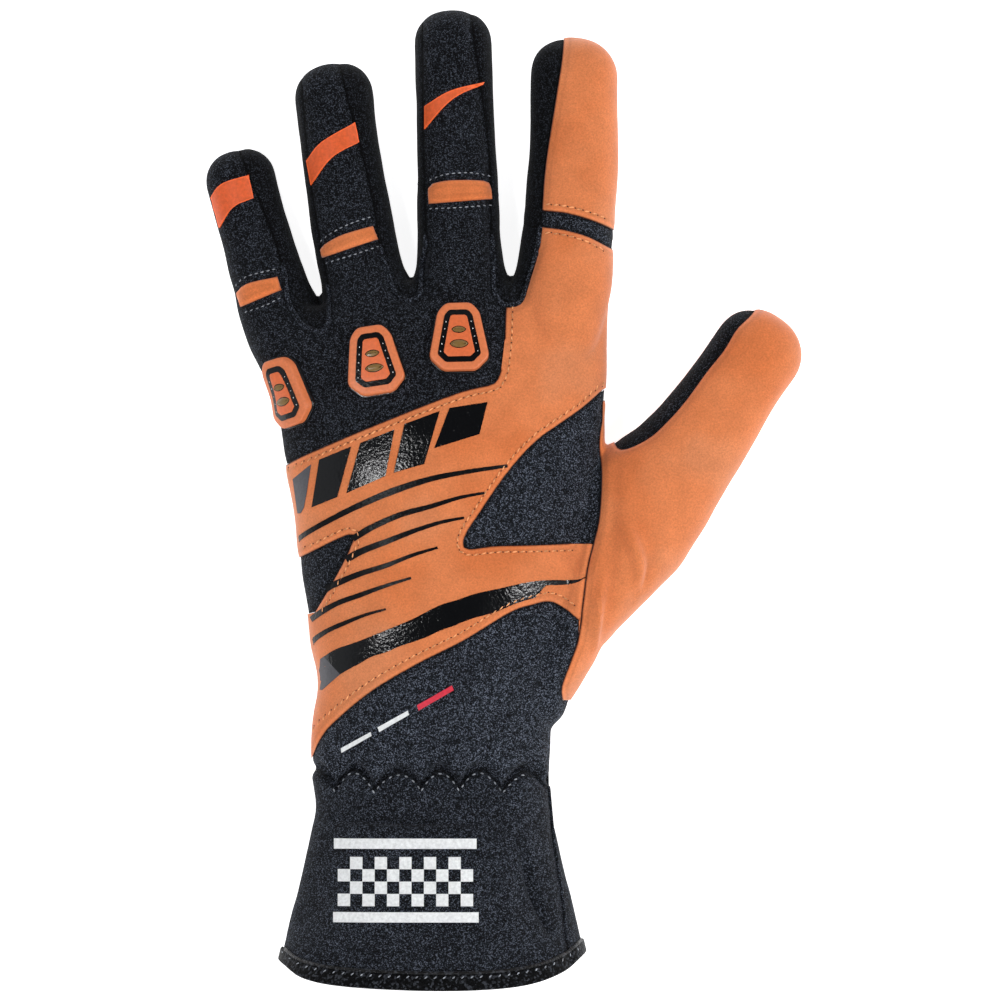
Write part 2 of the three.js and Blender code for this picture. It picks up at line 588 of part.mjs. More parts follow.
// The origin is on the floor, under the middle of the glove.
const bounds = new THREE.Box3();
const glove = new THREE.Group();
for (const { name, material, solid } of panels) {
  const mesh = new THREE.Mesh(geometryOf(solid), MATERIALS[material]);
  mesh.name = name;
  bounds.expandByObject(mesh);
  glove.add(mesh);
}
const middle = bounds.getCenter(new THREE.Vector3());
glove.position.set(-middle.x, -middle.y, -bounds.min.z);

export default glove;
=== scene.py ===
import math
from functools import cache

import bmesh
import bpy
import numpy as np
from bpy.props import FloatProperty, FloatVectorProperty, PointerProperty
from mathutils import Matrix, Vector, noise
from mathutils.bvhtree import BVHTree
from mathutils.kdtree import KDTree


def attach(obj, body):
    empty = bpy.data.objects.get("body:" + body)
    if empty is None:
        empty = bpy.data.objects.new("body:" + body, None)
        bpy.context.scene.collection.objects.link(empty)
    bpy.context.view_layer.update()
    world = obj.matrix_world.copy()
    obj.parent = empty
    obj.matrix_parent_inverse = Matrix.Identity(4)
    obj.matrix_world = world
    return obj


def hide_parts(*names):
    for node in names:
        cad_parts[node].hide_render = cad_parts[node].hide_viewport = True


bl_info = {
    "name": "Karting Glove",
    "version": (1, 0, 0),
    "blender": (4, 5, 0),
    "location": "3D View > Sidebar > Glove",
    "description": "Dresses the glove's packed frame with cloth, suede, pads, prints and stitches",
    "category": "Object",
}

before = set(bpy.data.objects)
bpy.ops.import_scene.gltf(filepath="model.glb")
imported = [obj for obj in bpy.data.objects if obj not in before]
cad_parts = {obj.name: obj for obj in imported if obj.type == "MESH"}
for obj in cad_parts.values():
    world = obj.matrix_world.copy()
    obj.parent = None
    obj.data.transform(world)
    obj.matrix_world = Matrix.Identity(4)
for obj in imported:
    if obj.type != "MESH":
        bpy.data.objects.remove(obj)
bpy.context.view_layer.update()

MM = 0.001
# The gather's middle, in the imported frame
ORIGIN = np.array([-15.24, -77.379, 0.0])

# The hand and cuff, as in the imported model
HAND_WIDTH = 98.0
HAND_LENGTH = 134.3
HAND_DEPTH = 34.0
WRIST_WIDTH = 67.4
CUFF_LENGTH = 61.4
CUFF_WIDTH = 86.0
CUFF_DEPTH = 46.0
HEM_CURVE = 12.0
FLOOR_SAG = 1.2
PALM_SEAM_HEIGHT = 6.5
CUFF_SEAM_HEIGHT = 12.0
THUMB_STRIP_HEIGHT = 5.0
GATHER_LINE = -2.9
GATHER_PITCH = 12.0
GATHER_SWING = 5.4
BINDING_WIDTH = 4.8
BINDING_OUT, BINDING_IN = 0.9, -2.4
BAR_PLY = 0.35
# From where to where the piping, the gather's stitches and the tape behind the gather run across the glove
PIPING_REACH = (-49.5, 39.5)
GATHER_STITCH_REACH = (-34.0, 22.0)
GATHER_TAPE_REACH = (-48.0, 42.0)
TOP_ROUNDNESS = 2.3
UNDER_ROUNDNESS = 3.0
SIDE_LINE = 0.42
HAND_SIDES = 96
FINGER_SIDES = 48
SECTION_STEP = 2.5

# Fingers: where each leaves the hand in shares of it, its lean towards the little finger in degrees, its sizes, its
# sideways bow and its sway at the root, and the seams beside its back panel as shares of its width
LITTLE = dict(across=-0.478, along=0.904, lean=15.5, length=57.8, width=20.4, depth=16.0, bow=0.0, sway=-1.6,
              left=-0.6, left_tip=-0.6, right=0.24, right_tip=0.1)
RING = dict(across=-0.233, along=0.957, lean=8.8, length=74.6, width=23.0, depth=18.0, bow=1.1, sway=0.0,
            left=-0.42, left_tip=-0.38, right=0.3, right_tip=0.12)
MIDDLE = dict(across=0.032, along=1.0, lean=1.8, length=83.2, width=22.6, depth=18.5, bow=0.0, sway=0.0,
              left=-0.41, left_tip=-0.38, right=0.41, right_tip=0.24)
INDEX = dict(across=0.322, along=1.0, lean=-2.8, length=74.9, width=24.9, depth=19.0, bow=-1.4, sway=0.0,
             left=-0.31, left_tip=-0.12, right=0.6, right_tip=0.6)
THUMB = dict(across=0.286, along=0.234, lean=-33.9, length=117.7, width=26.5, depth=22.0, bow=0.0, sway=3.0)

# Sections from root to tip: place in shares of the length, and width, underside and back in shares of the finger's
# own width and depth. Shift is a share of its sway.
FINGER_SECTIONS = [
    dict(along=-0.35, width=0.6, low=0.3, high=1.3, shift=0.0),
    dict(along=-0.12, width=1.02, low=0.16, high=1.54, shift=1.0),
    dict(along=0.06, width=1.12, low=0.14, high=1.5, shift=0.7),
    dict(along=0.26, width=1.06, low=0.1, high=1.33, shift=0.0),
    dict(along=0.6, width=1.0, low=0.01, high=1.1, shift=0.0),
    dict(along=0.78, width=0.99, low=-0.03, high=1.03, shift=0.0),
]
THUMB_SECTIONS = [
    dict(along=-0.2, width=0.55, low=0.2, high=1.0, shift=0.0),
    dict(along=-0.13, width=0.84, low=0.05, high=1.25, shift=-0.2),
    dict(along=0.08, width=0.8, low=-0.03, high=1.35, shift=0.0),
    dict(along=0.28, width=1.06, low=-0.04, high=1.32, shift=0.0),
    dict(along=0.36, width=1.24, low=-0.04, high=1.28, shift=0.2),
    dict(along=0.46, width=1.42, low=-0.04, high=1.22, shift=1.1),
    dict(along=0.54, width=1.26, low=-0.04, high=1.17, shift=0.6),
    dict(along=0.6, width=1.13, low=-0.04, high=1.12, shift=0.15),
    dict(along=0.72, width=1.02, low=-0.03, high=1.06, shift=-0.1),
    dict(along=0.83, width=0.96, low=-0.03, high=1.02, shift=-0.1),
]
TIP_RADIUS_SHARE = 0.42
TIP_SQUARENESS = 0.85
TIP_DEGREES = (12, 24, 36, 48, 60, 70, 78, 84, 88)

# The hand from the gather to the webs: swell goes from the wrist's width to the hand's, slant lifts the thumb side
HAND_SECTIONS = [
    dict(along=0.0, swell=0.01, centre=-0.058, slant=0.0, low=0.04, high=1.05),
    dict(along=0.1, swell=0.02, centre=-0.05, slant=0.0, low=0.0, high=1.08),
    dict(along=0.18, swell=0.09, centre=-0.031, slant=0.0, low=-0.01, high=1.08),
    dict(along=0.26, swell=0.25, centre=-0.022, slant=0.0, low=-0.02, high=1.07),
    dict(along=0.34, swell=0.37, centre=-0.009, slant=0.0, low=-0.03, high=1.06),
    dict(along=0.45, swell=0.54, centre=-0.011, slant=0.0, low=-0.03, high=1.04),
    dict(along=0.58, swell=0.69, centre=-0.013, slant=0.0, low=-0.02, high=1.02),
    dict(along=0.8, swell=0.9, centre=-0.03, slant=0.01, low=0.0, high=0.98),
    dict(along=0.88, swell=1.03, centre=-0.046, slant=0.03, low=0.02, high=0.93),
    dict(along=0.95, swell=1.18, centre=-0.066, slant=0.06, low=0.05, high=0.83),
    dict(along=0.99, swell=1.2, centre=-0.073, slant=0.08, low=0.12, high=0.68),
]
# The cuff from beyond its hem up to the gather
CUFF_CENTRE = -0.048
CUFF_SECTIONS = [
    dict(along=1.2, flare=1.56),
    dict(along=0.84, flare=1.0),
    dict(along=0.65, flare=0.69),
    dict(along=0.46, flare=0.38),
    dict(along=0.3, flare=0.15),
    dict(along=0.16, flare=0.0),
]
HEM_LINE = [(-0.64, 1.5), (-0.5, 0.62), (-0.42, 0.26), (-0.26, 0.08), (0.04, 0.0), (0.28, 0.1), (0.42, 0.4),
            (0.5, 0.85), (0.64, 1.8)]

# Seams in plan, each point an across and an along share of the hand
SUEDE_LOWER_EDGE = [(-0.41, 0.012), (-0.379, 0.065), (-0.335, 0.104), (-0.228, 0.168), (-0.094, 0.226), (0.04, 0.275),
                    (0.174, 0.334), (0.24, 0.351), (0.29, 0.358), (0.328, 0.346), (0.375, 0.319)]
WRIST_SIDE_EDGE = [(0.375, 0.278), (0.36, 0.22), (0.4, 0.18)]
SUEDE_UPPER_EDGE = [(-0.6, 0.59), (-0.469, 0.653), (-0.373, 0.686), (-0.277, 0.716), (-0.173, 0.747), (-0.07, 0.777),
                    (0.04, 0.806), (0.116, 0.819), (0.137, 0.829), (0.15, 0.852)]
SUEDE_SIDE_EDGE = [(0.16, 0.917), (0.163, 0.985)]
SIDE_INSET = [(-0.6, 0.42), (-0.451, 0.447), (-0.295, 0.5), (-0.291, 0.475), (-0.342, 0.402), (-0.395, 0.336),
              (-0.6, 0.3)]
WEB_INSET = [(0.6, 0.88), (0.447, 0.808), (0.388, 0.77), (0.314, 0.732), (0.262, 0.705), (0.202, 0.662),
             (0.143, 0.607), (0.083, 0.542), (0.053, 0.509), (0.04, 0.483), (0.055, 0.471), (0.128, 0.477),
             (0.239, 0.479), (0.35, 0.482), (0.6, 0.482)]
THUMB_SEAM = [(0.46, 0.79), (0.448, 0.785), (0.446, 0.745), (0.438, 0.7), (0.44, 0.617), (0.433, 0.536),
              (0.417, 0.483), (0.4, 0.43), (0.387, 0.353), (0.375, 0.278), (0.354, 0.232), (0.328, 0.177),
              (0.33, 0.149)]
THUMB_STRIP_EDGE = [(0.472, 0.712), (0.499, 0.683), (0.574, 0.705), (0.633, 0.743), (0.685, 0.786), (0.745, 0.846),
                    (0.797, 0.894), (0.834, 0.938), (0.879, 0.971), (0.93, 1.02)]
INDEX_BAND_TOP = [(0.22, 1.196), (0.274, 1.189), (0.33, 1.185), (0.4, 1.172), (0.469, 1.152), (0.55, 1.12)]
INDEX_BAND_FOOT = [(0.2, 1.165), (0.265, 1.156), (0.33, 1.15), (0.4, 1.136), (0.464, 1.113), (0.55, 1.08)]
CUFF_SIDE_SEAM = [(0.284, -0.02), (0.3, -0.14), (0.332, -0.3), (0.36, -0.52)]
PALM_WRIST_SEAM = 0.12

PANEL_SEAMS = (SUEDE_LOWER_EDGE, SUEDE_UPPER_EDGE, SUEDE_SIDE_EDGE, SIDE_INSET[1:-1], WEB_INSET[1:-1], THUMB_SEAM,
               THUMB_STRIP_EDGE, INDEX_BAND_TOP, INDEX_BAND_FOOT, CUFF_SIDE_SEAM)

# Soft folds on the cloth, in millimetres: a line in plan, how far it presses in and its width. A negative depth is a
# ridge.
FOLDS = [
    dict(line=[(47.1, 85.7), (46.0, 61.7), (44.6, 45.1), (43.1, 34.2)], depth=1.1, width=2.4),
    dict(line=[(50.6, 69.4), (53.4, 60.0), (53.4, 50.9)], depth=-2.0, width=1.7),
    dict(line=[(44.1, 56.4), (42.2, 46.0), (40.9, 35.4)], depth=-1.7, width=1.3),
    dict(line=[(52.5, 71.4), (57.0, 60.0), (51.5, 48.6)], depth=1.2, width=2.2),
    dict(line=[(-32.9, -13.7), (-12.0, -14.6), (7.1, -14.9)], depth=2.0, width=1.2),
    dict(line=[(-30.0, -20.0), (-8.0, -20.6), (12.0, -19.6)], depth=-0.5, width=3.6),
    dict(line=[(20.6, -22.9), (24.0, -34.0), (28.3, -45.7)], depth=2.2, width=1.5),
    dict(line=[(14.0, -21.0), (16.4, -34.0), (18.4, -49.0)], depth=-0.8, width=3.0),
    dict(line=[(31.4, 24.0), (31.0, 18.6), (32.5, 12.0)], depth=-0.9, width=3.5),
]

# Knit panels in the order that they are made, each with the tone of its knit; the fourchettes' low tone is painted
# shade at the webs between the fingers
KNIT_TONES = {"hand_back": 0.6, "fourchette_little_ring": 0.3, "fourchette_ring_middle": 0.3,
              "fourchette_middle_index": 0.3, "index_band": 0.95, "thumb_strip": 0.5, "side_inset": 0.85,
              "web_inset": 1.3, "wrist": 1.35, "cuff_back": 0.92, "cuff_gusset": 0.85}

# Moulded pads: place in shares of the hand, lean in degrees and width as a share of the widest
PADS = [
    dict(name="knuckle_pad_little", across=-0.471, along=0.805, lean=20.0, narrow=0.88),
    dict(name="knuckle_pad_ring", across=-0.22, along=0.87, lean=9.0, narrow=0.97),
    dict(name="knuckle_pad_middle", across=0.026, along=0.919, lean=1.0, narrow=1.0),
]

# Trims that lie on the cloth, as outlines in millimetres
FLEX_STRIPS = {
    "flex_strip_little": [(-60.9, 136.3), (-58.0, 138.9), (-49.4, 140.9), (-48.3, 137.1), (-59.7, 132.3)],
    "flex_strip_ring": [(-36.9, 148.6), (-35.4, 150.3), (-30.6, 152.9), (-22.3, 155.4), (-20.6, 151.6), (-36.3, 146.3)],
    "flex_strip_middle": [(-6.0, 166.0), (-4.9, 167.4), (0.0, 168.4), (9.4, 168.3), (11.4, 166.9), (11.9, 163.1),
                          (-5.9, 161.7)],
}
FINGER_BARS = {
    "finger_bar_little": [(-68.9, 162.6), (-65.4, 167.4), (-57.6, 170.0), (-56.3, 163.4), (-62.1, 160.6),
                          (-66.3, 154.0)],
    "finger_bar_ring": [(-40.9, 174.1), (-36.6, 179.4), (-27.1, 185.1), (-26.0, 179.4), (-33.7, 174.9),
                        (-39.6, 167.1)],
    "finger_bar_middle": [(-7.1, 189.7), (0.0, 194.0), (9.7, 196.6), (9.4, 195.9), (3.1, 193.1), (-1.4, 189.7),
                          (-7.1, 183.1)],
}
# Stripes: middle lines, each with its width at the right, the middle and the left
STRIPES = [
    dict(widths=(0.9, 1.9, 1.3), line=[(16.3, 86.9), (4.8, 85.2), (-5.6, 83.1), (-16.0, 79.7), (-26.4, 75.3),
                                      (-34.1, 71.4), (-40.4, 67.8), (-43.7, 65.3)]),
    dict(widths=(0.7, 1.5, 1.9), line=[(9.7, 79.2), (2.2, 77.7), (-5.6, 75.3), (-13.9, 73.0), (-22.2, 69.3),
                                      (-27.4, 66.1)]),
    dict(widths=(0.7, 1.5, 2.0), line=[(4.0, 72.1), (-3.0, 70.7), (-10.8, 68.1), (-18.1, 65.2), (-24.8, 62.6),
                                      (-29.3, 60.1)]),
    dict(widths=(0.7, 1.4, 1.8), line=[(-3.5, 63.5), (-10.8, 61.3), (-18.1, 58.4), (-25.3, 56.1), (-31.6, 53.5),
                                      (-35.1, 51.8)]),
    dict(widths=(0.7, 1.4, 1.6), line=[(-11.0, 54.9), (-18.1, 52.7), (-25.3, 50.1), (-31.6, 47.8), (-36.2, 45.2),
                                      (-39.3, 42.9)]),
    dict(widths=(0.6, 1.2, 1.4), line=[(-18.1, 46.0), (-23.8, 44.4), (-29.5, 42.1), (-34.7, 39.7), (-38.1, 37.4),
                                      (-39.7, 35.6)]),
]
TAPER_BAND = [(-35.5, 32.5), (-32.1, 34.6), (-26.4, 36.6), (-18.1, 40.0), (-10.8, 43.1), (-2.9, 47.1), (2.0, 48.6),
              (7.3, 50.4), (13.5, 51.8), (20.0, 53.3), (25.7, 54.2), (31.8, 54.3), (36.3, 54.2), (39.0, 55.1),
              (35.9, 53.3), (31.0, 52.9), (27.1, 52.7), (25.3, 50.6), (24.1, 49.4), (21.6, 48.7), (17.5, 47.3),
              (13.4, 45.5), (9.4, 44.3), (5.3, 43.1), (1.2, 41.4), (-2.9, 39.9), (-7.7, 37.7), (-13.9, 35.6),
              (-18.1, 33.8), (-22.2, 32.5), (-25.3, 30.7), (-27.9, 29.3), (-31.0, 27.5)]
GREY_BLOCKS = [
    [(-35.5, 32.5), (-31.0, 27.5), (-34.1, 24.7), (-36.9, 21.9), (-38.6, 30.4)],
    [(-44.4, 83.2), (-39.3, 87.3), (-41.3, 74.9), (-43.0, 73.2)],
]
SLANTED_BLOCKS = [
    [(-37.0, 88.6), (-28.0, 92.3), (-31.9, 78.0), (-39.1, 75.1)],
    [(-25.4, 93.3), (-15.7, 97.1), (-18.3, 84.0), (-29.3, 79.1)],
    [(-12.9, 98.7), (-2.9, 102.4), (-7.3, 87.4), (-15.9, 84.9)],
    [(-0.1, 103.3), (10.7, 105.0), (8.4, 95.9), (-4.4, 91.9)],
]
WHITE_DASHES = [
    [(-31.1, 6.3), (-22.6, 11.0), (-22.3, 9.9), (-30.9, 5.0)],
    [(-20.6, 12.3), (-12.0, 17.1), (-11.6, 15.9), (-20.1, 11.0)],
]
RED_DASH = [(-9.4, 18.6), (0.6, 24.3), (1.1, 22.9), (-8.9, 17.1)]
CUFF_PATCH = dict(left=-31.9, right=6.6, top=-24.6, foot=-38.6, columns=11, rows=4)
CUFF_BARS = [
    [(-33.0, -22.3), (7.6, -22.3), (7.6, -19.4), (-33.0, -19.4)],
    [(-33.2, -43.2), (8.2, -43.2), (8.2, -40.3), (-33.2, -40.3)],
]

# Seams round the webs between the fingers, from the left finger to the right one
WEB_SEAMS = {
    "fourchette_little_ring": [(-47.0, 137.5), (-46.3, 134.3), (-44.3, 130.0), (-42.0, 127.1), (-39.1, 125.7),
                               (-36.6, 125.2), (-35.0, 126.7), (-34.6, 130.0), (-34.7, 134.0)],
    "fourchette_ring_middle": [(-18.0, 142.5), (-16.9, 138.6), (-14.9, 135.6), (-12.9, 134.3), (-10.9, 133.8),
                               (-9.4, 134.6), (-8.6, 136.6), (-8.0, 140.0), (-7.7, 145.7)],
    "fourchette_middle_index": [(12.3, 145.0), (12.3, 141.1), (12.6, 136.6), (13.7, 134.3), (15.4, 132.9),
                                (18.6, 132.9), (20.6, 134.3), (21.6, 137.1), (22.9, 141.1), (24.8, 147.4)],
}
# Feet of the gaps between the fingers in millimetres: how far the seam draws each one down, and how far its sides fill
WEB_FEET = [
    dict(place=(-39.6, 138.6), drawn=(2.0, -4.6), fill=1.0),
    dict(place=(-11.4, 139.5), drawn=(0.0, 0.0), fill=1.3),
    dict(place=(16.9, 142.0), drawn=(0.3, -2.9), fill=1.2),
]

# Rows of stitches on the bands above and under each flex strip
BAND_STITCHES = [
    [(-6.3, 160.3), (2.0, 160.6), (12.0, 161.4)],
    [(-6.3, 168.3), (-1.4, 170.1), (5.7, 170.6), (11.4, 169.7)],
    [(-36.0, 144.6), (-28.0, 147.0), (-20.0, 149.7)],
    [(-37.4, 150.6), (-34.3, 153.1), (-28.6, 156.0), (-22.6, 158.0)],
    [(-59.1, 130.6), (-53.0, 132.6), (-47.4, 135.4)],
    [(-61.7, 138.0), (-58.3, 140.9), (-50.0, 143.1)],
]


class GloveSizes(bpy.types.PropertyGroup):
    """Sizes of the cloth, trims and stitches"""

    voxel: FloatProperty(name="Cloth detail", description="Spacing of the cloth's surface points", default=0.0008,
                         min=0.0005, subtype="DISTANCE", unit="LENGTH")
    ply: FloatProperty(name="Cloth ply", description="Thickness of a panel", default=0.0014, subtype="DISTANCE",
                       unit="LENGTH")
    lining: FloatProperty(name="Lining ply", description="Thickness of the lining", default=0.0004,
                          subtype="DISTANCE", unit="LENGTH")
    suede_lift: FloatProperty(name="Suede lift", description="How far suede stands over the knit beside it",
                              default=0.0005, subtype="DISTANCE", unit="LENGTH")
    seam_gap: FloatProperty(name="Seam gap", description="Width of the slit between two panels", default=0.00012,
                            subtype="DISTANCE", unit="LENGTH")
    seam_dip: FloatProperty(name="Seam dip", description="How far the cloth sinks at a seam", default=0.0008,
                            subtype="DISTANCE", unit="LENGTH")
    print_ply: FloatProperty(name="Print ply", description="Thickness of the gloss film", default=0.00014,
                             subtype="DISTANCE", unit="LENGTH")
    strip_ply: FloatProperty(name="Strip ply", description="Thickness of a flex strip", default=0.0011,
                             subtype="DISTANCE", unit="LENGTH")
    pad_height: FloatProperty(name="Pad height", description="Height of a knuckle pad", default=0.0026,
                              subtype="DISTANCE", unit="LENGTH")
    stitch_pitch: FloatProperty(name="Stitch pitch", description="From one top stitch to the next", default=0.0022,
                                subtype="DISTANCE", unit="LENGTH")
    stitch_inset: FloatProperty(name="Stitch inset", description="From a suede edge to its top stitches",
                                default=0.002, subtype="DISTANCE", unit="LENGTH")
    thread: FloatProperty(name="Thread", description="Thickness of the sewing thread", default=0.00045,
                          subtype="DISTANCE", unit="LENGTH")
    piping: FloatProperty(name="Piping", description="Thickness of the cord in the hem", default=0.0012,
                          subtype="DISTANCE", unit="LENGTH")


def linear(hex_colour):
    """A six-digit sRGB colour as Blender's linear red, green, blue and alpha."""
    parts = [int(hex_colour[i:i + 2], 16) / 255 for i in (1, 3, 5)]
    return (*[p / 12.92 if p <= 0.04045 else ((p + 0.055) / 1.055) ** 2.4 for p in parts], 1.0)


def colour(name, description, hex_colour):
    """A property that holds a colour."""
    return FloatVectorProperty(name=name, description=description, default=linear(hex_colour), size=4,
                               subtype="COLOR", min=0, max=1)


class GloveColours(bpy.types.PropertyGroup):
    """Colours of the cloth, suede, prints and threads"""

    knit: colour("Knit", "Black heathered knit", "#15181d")
    fleck: colour("Fleck", "Pale fibres in the knit", "#484d57")
    suede: colour("Suede", "Orange suede", "#d67c4a")
    palm: colour("Palm", "Dark palm suede", "#1d1f22")
    pad: colour("Pad", "Orange pad rubber", "#d87748")
    plate: colour("Plate", "The pads' raised middles", "#da6a3a")
    strip: colour("Strip", "Flex strips over the joints", "#d97842")
    bar: colour("Bar", "Raised bars near the fingertips", "#da5a26")
    gloss: colour("Gloss film", "Black gloss film", "#08090b")
    vent: colour("Vent", "Olive resin in the pads' vents", "#7d6033")
    grey: colour("Grey film", "Matt grey film", "#4a4a4f")
    white: colour("White film", "White film", "#e4e6e6")
    red: colour("Red film", "Red film", "#d3283f")
    binding: colour("Binding", "Satin tape round the hem", "#0c0d0f")
    thread: colour("Thread", "Thread on the suede", "#f3a86f")
    # Painted shade: the needle holes are drawn as dark marks, as the holes lie in shadow
    hole: colour("Needle hole", "Needle holes beside the thread", "#5a2a16")
    grey_thread: colour("Grey thread", "Thread on the knit", "#9ca1a9")
    floor: colour("Floor", "Studio floor", "#f7f7f7")


def size(name):
    """One of the glove's sizes in millimetres."""
    return getattr(bpy.context.scene.glove_sizes, name) / MM


# Curves and surfaces


def shares(points):
    """Points in shares of the hand as millimetres in plan."""
    return np.array(points, float) * (HAND_WIDTH, HAND_LENGTH)


def smoothed(points, step=1.2):
    """A smooth open line through points, with a point about every step."""
    points = np.asarray(points, float)
    ends = np.vstack([2 * points[0] - points[1], points, 2 * points[-1] - points[-2]])
    line = []
    for a, b, c, d in zip(ends[:-3], ends[1:-2], ends[2:-1], ends[3:]):
        count = max(1, round(float(np.linalg.norm(c - b)) / step))
        t = (np.arange(count) / count)[:, None]
        line.append(0.5 * (2 * b + (c - a) * t + (2 * a - 5 * b + 4 * c - d) * t**2 + (3 * b - a - 3 * c + d) * t**3))
    return np.vstack([*line, points[-1:]])


def resample(rows, step):
    """A table's rows along its first column, taken closer together on smooth lines that never overshoot them."""
    key = next(iter(rows[0]))
    keys = np.array([row[key] for row in rows])
    gaps = np.diff(keys)
    at = np.linspace(keys[0], keys[-1], math.ceil((keys[-1] - keys[0]) / step) + 1)
    span = np.clip(np.searchsorted(keys, at, side="right") - 1, 0, len(gaps) - 1)
    t = (at - keys[span]) / gaps[span]
    fine = {key: at}
    for name in list(rows[0])[1:]:
        values = np.array([row[name] for row in rows])
        slopes = np.diff(values) / gaps
        before, after = slopes[:-1], slopes[1:]
        same_way = before * after > 0
        inner = np.where(same_way, 2 * before * after / np.where(same_way, before + after, 1), 0)
        tangents = np.concatenate([slopes[:1], inner, slopes[-1:]])
        start, rise = values[span], np.diff(values)[span]
        out, back = tangents[span] * gaps[span], tangents[span + 1] * gaps[span]
        fine[name] = start + out * t + (3 * rise - 2 * out - back) * t**2 + (out + back - 2 * rise) * t**3
    return [dict(zip(fine, row)) for row in zip(*fine.values())]


def seam_line(seam):
    """A seam in shares of the hand as a smooth line in millimetres."""
    return smoothed(shares(seam))


def smoothstep(values, low, high):
    """A smooth rise from 0 at a low value to 1 at a high one."""
    t = np.clip((values - low) / (high - low), 0, 1)
    return t * t * (3 - 2 * t)


def finger_place(finger, along):
    """The middle of a finger in plan at a share of its length, and the way across it."""
    lean = math.radians(finger["lean"])
    forward = np.array([-math.sin(lean), math.cos(lean)])
    sideways = np.array([forward[1], -forward[0]])
    bow = -finger["bow"] * math.sin(math.pi * min(1, max(0, along)))
    root = shares((finger["across"], finger["along"]))
    return root + forward * along * finger["length"] + sideways * bow, sideways


def finger_seam(finger, side):
    """The seam beside a finger's back panel, from beyond its tip to its root."""
    points = []
    for along in (1.15, 0.95, 0.75, 0.5, 0.25, 0.02):
        share = float(smoothstep(along, 0.5, 1))
        across = finger[side] + (finger[side + "_tip"] - finger[side]) * share
        place, sideways = finger_place(finger, along)
        points.append(place + sideways * across * finger["width"])
    return smoothed(points)


def gather_height(x):
    """Where the elastic's scalloped line runs at a place across the wrist: round peaks and narrow valleys."""
    swing = np.abs(np.cos((x - GATHER_LINE + 0.7 * np.sin(x / 5)) * math.pi / GATHER_PITCH)) ** 0.85
    return GATHER_LINE + GATHER_SWING * (swing - 0.5) + 0.45 * np.sin(x / 3.7) * np.sin(x / 11)


def across(line, reach):
    """The points of a line that lie between two places across the glove."""
    return line[(line[:, 0] > reach[0]) & (line[:, 0] < reach[1])]


def gather_line(by=0.0):
    """The elastic's line in plan, moved along the hand."""
    x = np.arange(-90, 90.1, 0.75) + GATHER_LINE
    return np.column_stack([x, gather_height(x) + by])


def hem_line(up=0.0):
    """The hem's curve in plan, moved up the cuff."""
    axis = CUFF_CENTRE * HAND_WIDTH
    return smoothed([(axis + across * CUFF_WIDTH, -CUFF_LENGTH - 1.3 + rise * HEM_CURVE + up)
                     for across, rise in HEM_LINE])


def from_line(points, line):
    """How far points are from a line in plan, the way out from it, and how far along it they are."""
    nearest = np.full(len(points), 1e9)
    along = np.zeros(len(points))
    out = np.zeros((len(points), 2))
    start = 0.0
    for a, b in zip(line[:-1], line[1:]):
        side = b - a
        length = float(np.hypot(*side))
        t = np.clip((points - a) @ side / length**2, 0, 1)
        offset = points - a - t[:, None] * side
        distance = np.hypot(offset[:, 0], offset[:, 1])
        near = distance < nearest
        nearest[near], along[near], out[near] = distance[near], start + t[near] * length, offset[near]
        start += length
    return nearest, out / np.maximum(nearest, 1e-6)[:, None], along


def on_cloth(points, normals, line, reach=12.0):
    """Distance from a line measured on the cloth, and along it. Points beyond reach in plan come back as far away."""
    low, high = line.min(0) - reach, line.max(0) + reach
    near = np.all((points[:, :2] > low) & (points[:, :2] < high), axis=1)
    distance, along = np.full(len(points), 1e3), np.zeros(len(points))
    plan, out, place = from_line(points[near, :2], line)
    facing = np.einsum("ij,ij->i", normals[near, :2], out)
    distance[near] = plan / np.sqrt(np.clip(1 - facing**2, 0.06, 1))
    along[near] = place
    return distance, along


# The filled-out form


def section_ring(left, right, low, high):
    """A section that stands on the plan's line from left to right, as a function from turns to points."""

    def points(turns):
        cosine, sine = np.cos(turns), np.sin(turns)
        side = low + (high - low) * SIDE_LINE
        power = 2 / np.where(sine > 0, TOP_ROUNDNESS, UNDER_ROUNDNESS)
        rise = np.where(sine > 0, high - side, side - low)
        out = np.sign(cosine) * np.abs(cosine) ** power
        plan = (left + right) / 2 + out[:, None] * (right - left) / 2
        return np.column_stack([plan, side + np.sign(sine) * np.abs(sine) ** power * rise])

    return points


def add_skin(bm, rings, sides):
    """Adds a closed skin through rings."""
    turn = bm.verts.layers.float.get("turn") or bm.verts.layers.float.new("turn")
    verts = bmesh.ops.create_circle(bm, segments=sides, radius=1)["verts"]
    for vert in verts:
        vert[turn] = math.atan2(vert.co.y, vert.co.x)
    edges = list({edge for vert in verts for edge in vert.link_edges})
    open_edges = list(edges)
    for place, ring in enumerate(rings):
        if place:
            made = bmesh.ops.extrude_edge_only(bm, edges=edges)["geom"]
            verts = [item for item in made if isinstance(item, bmesh.types.BMVert)]
            edges = [item for item in made if isinstance(item, bmesh.types.BMEdge) and item.is_boundary]
        for vert, point in zip(verts, ring(np.array([vert[turn] for vert in verts]))):
            vert.co = point
    bmesh.ops.holes_fill(bm, edges=open_edges + edges, sides=0)


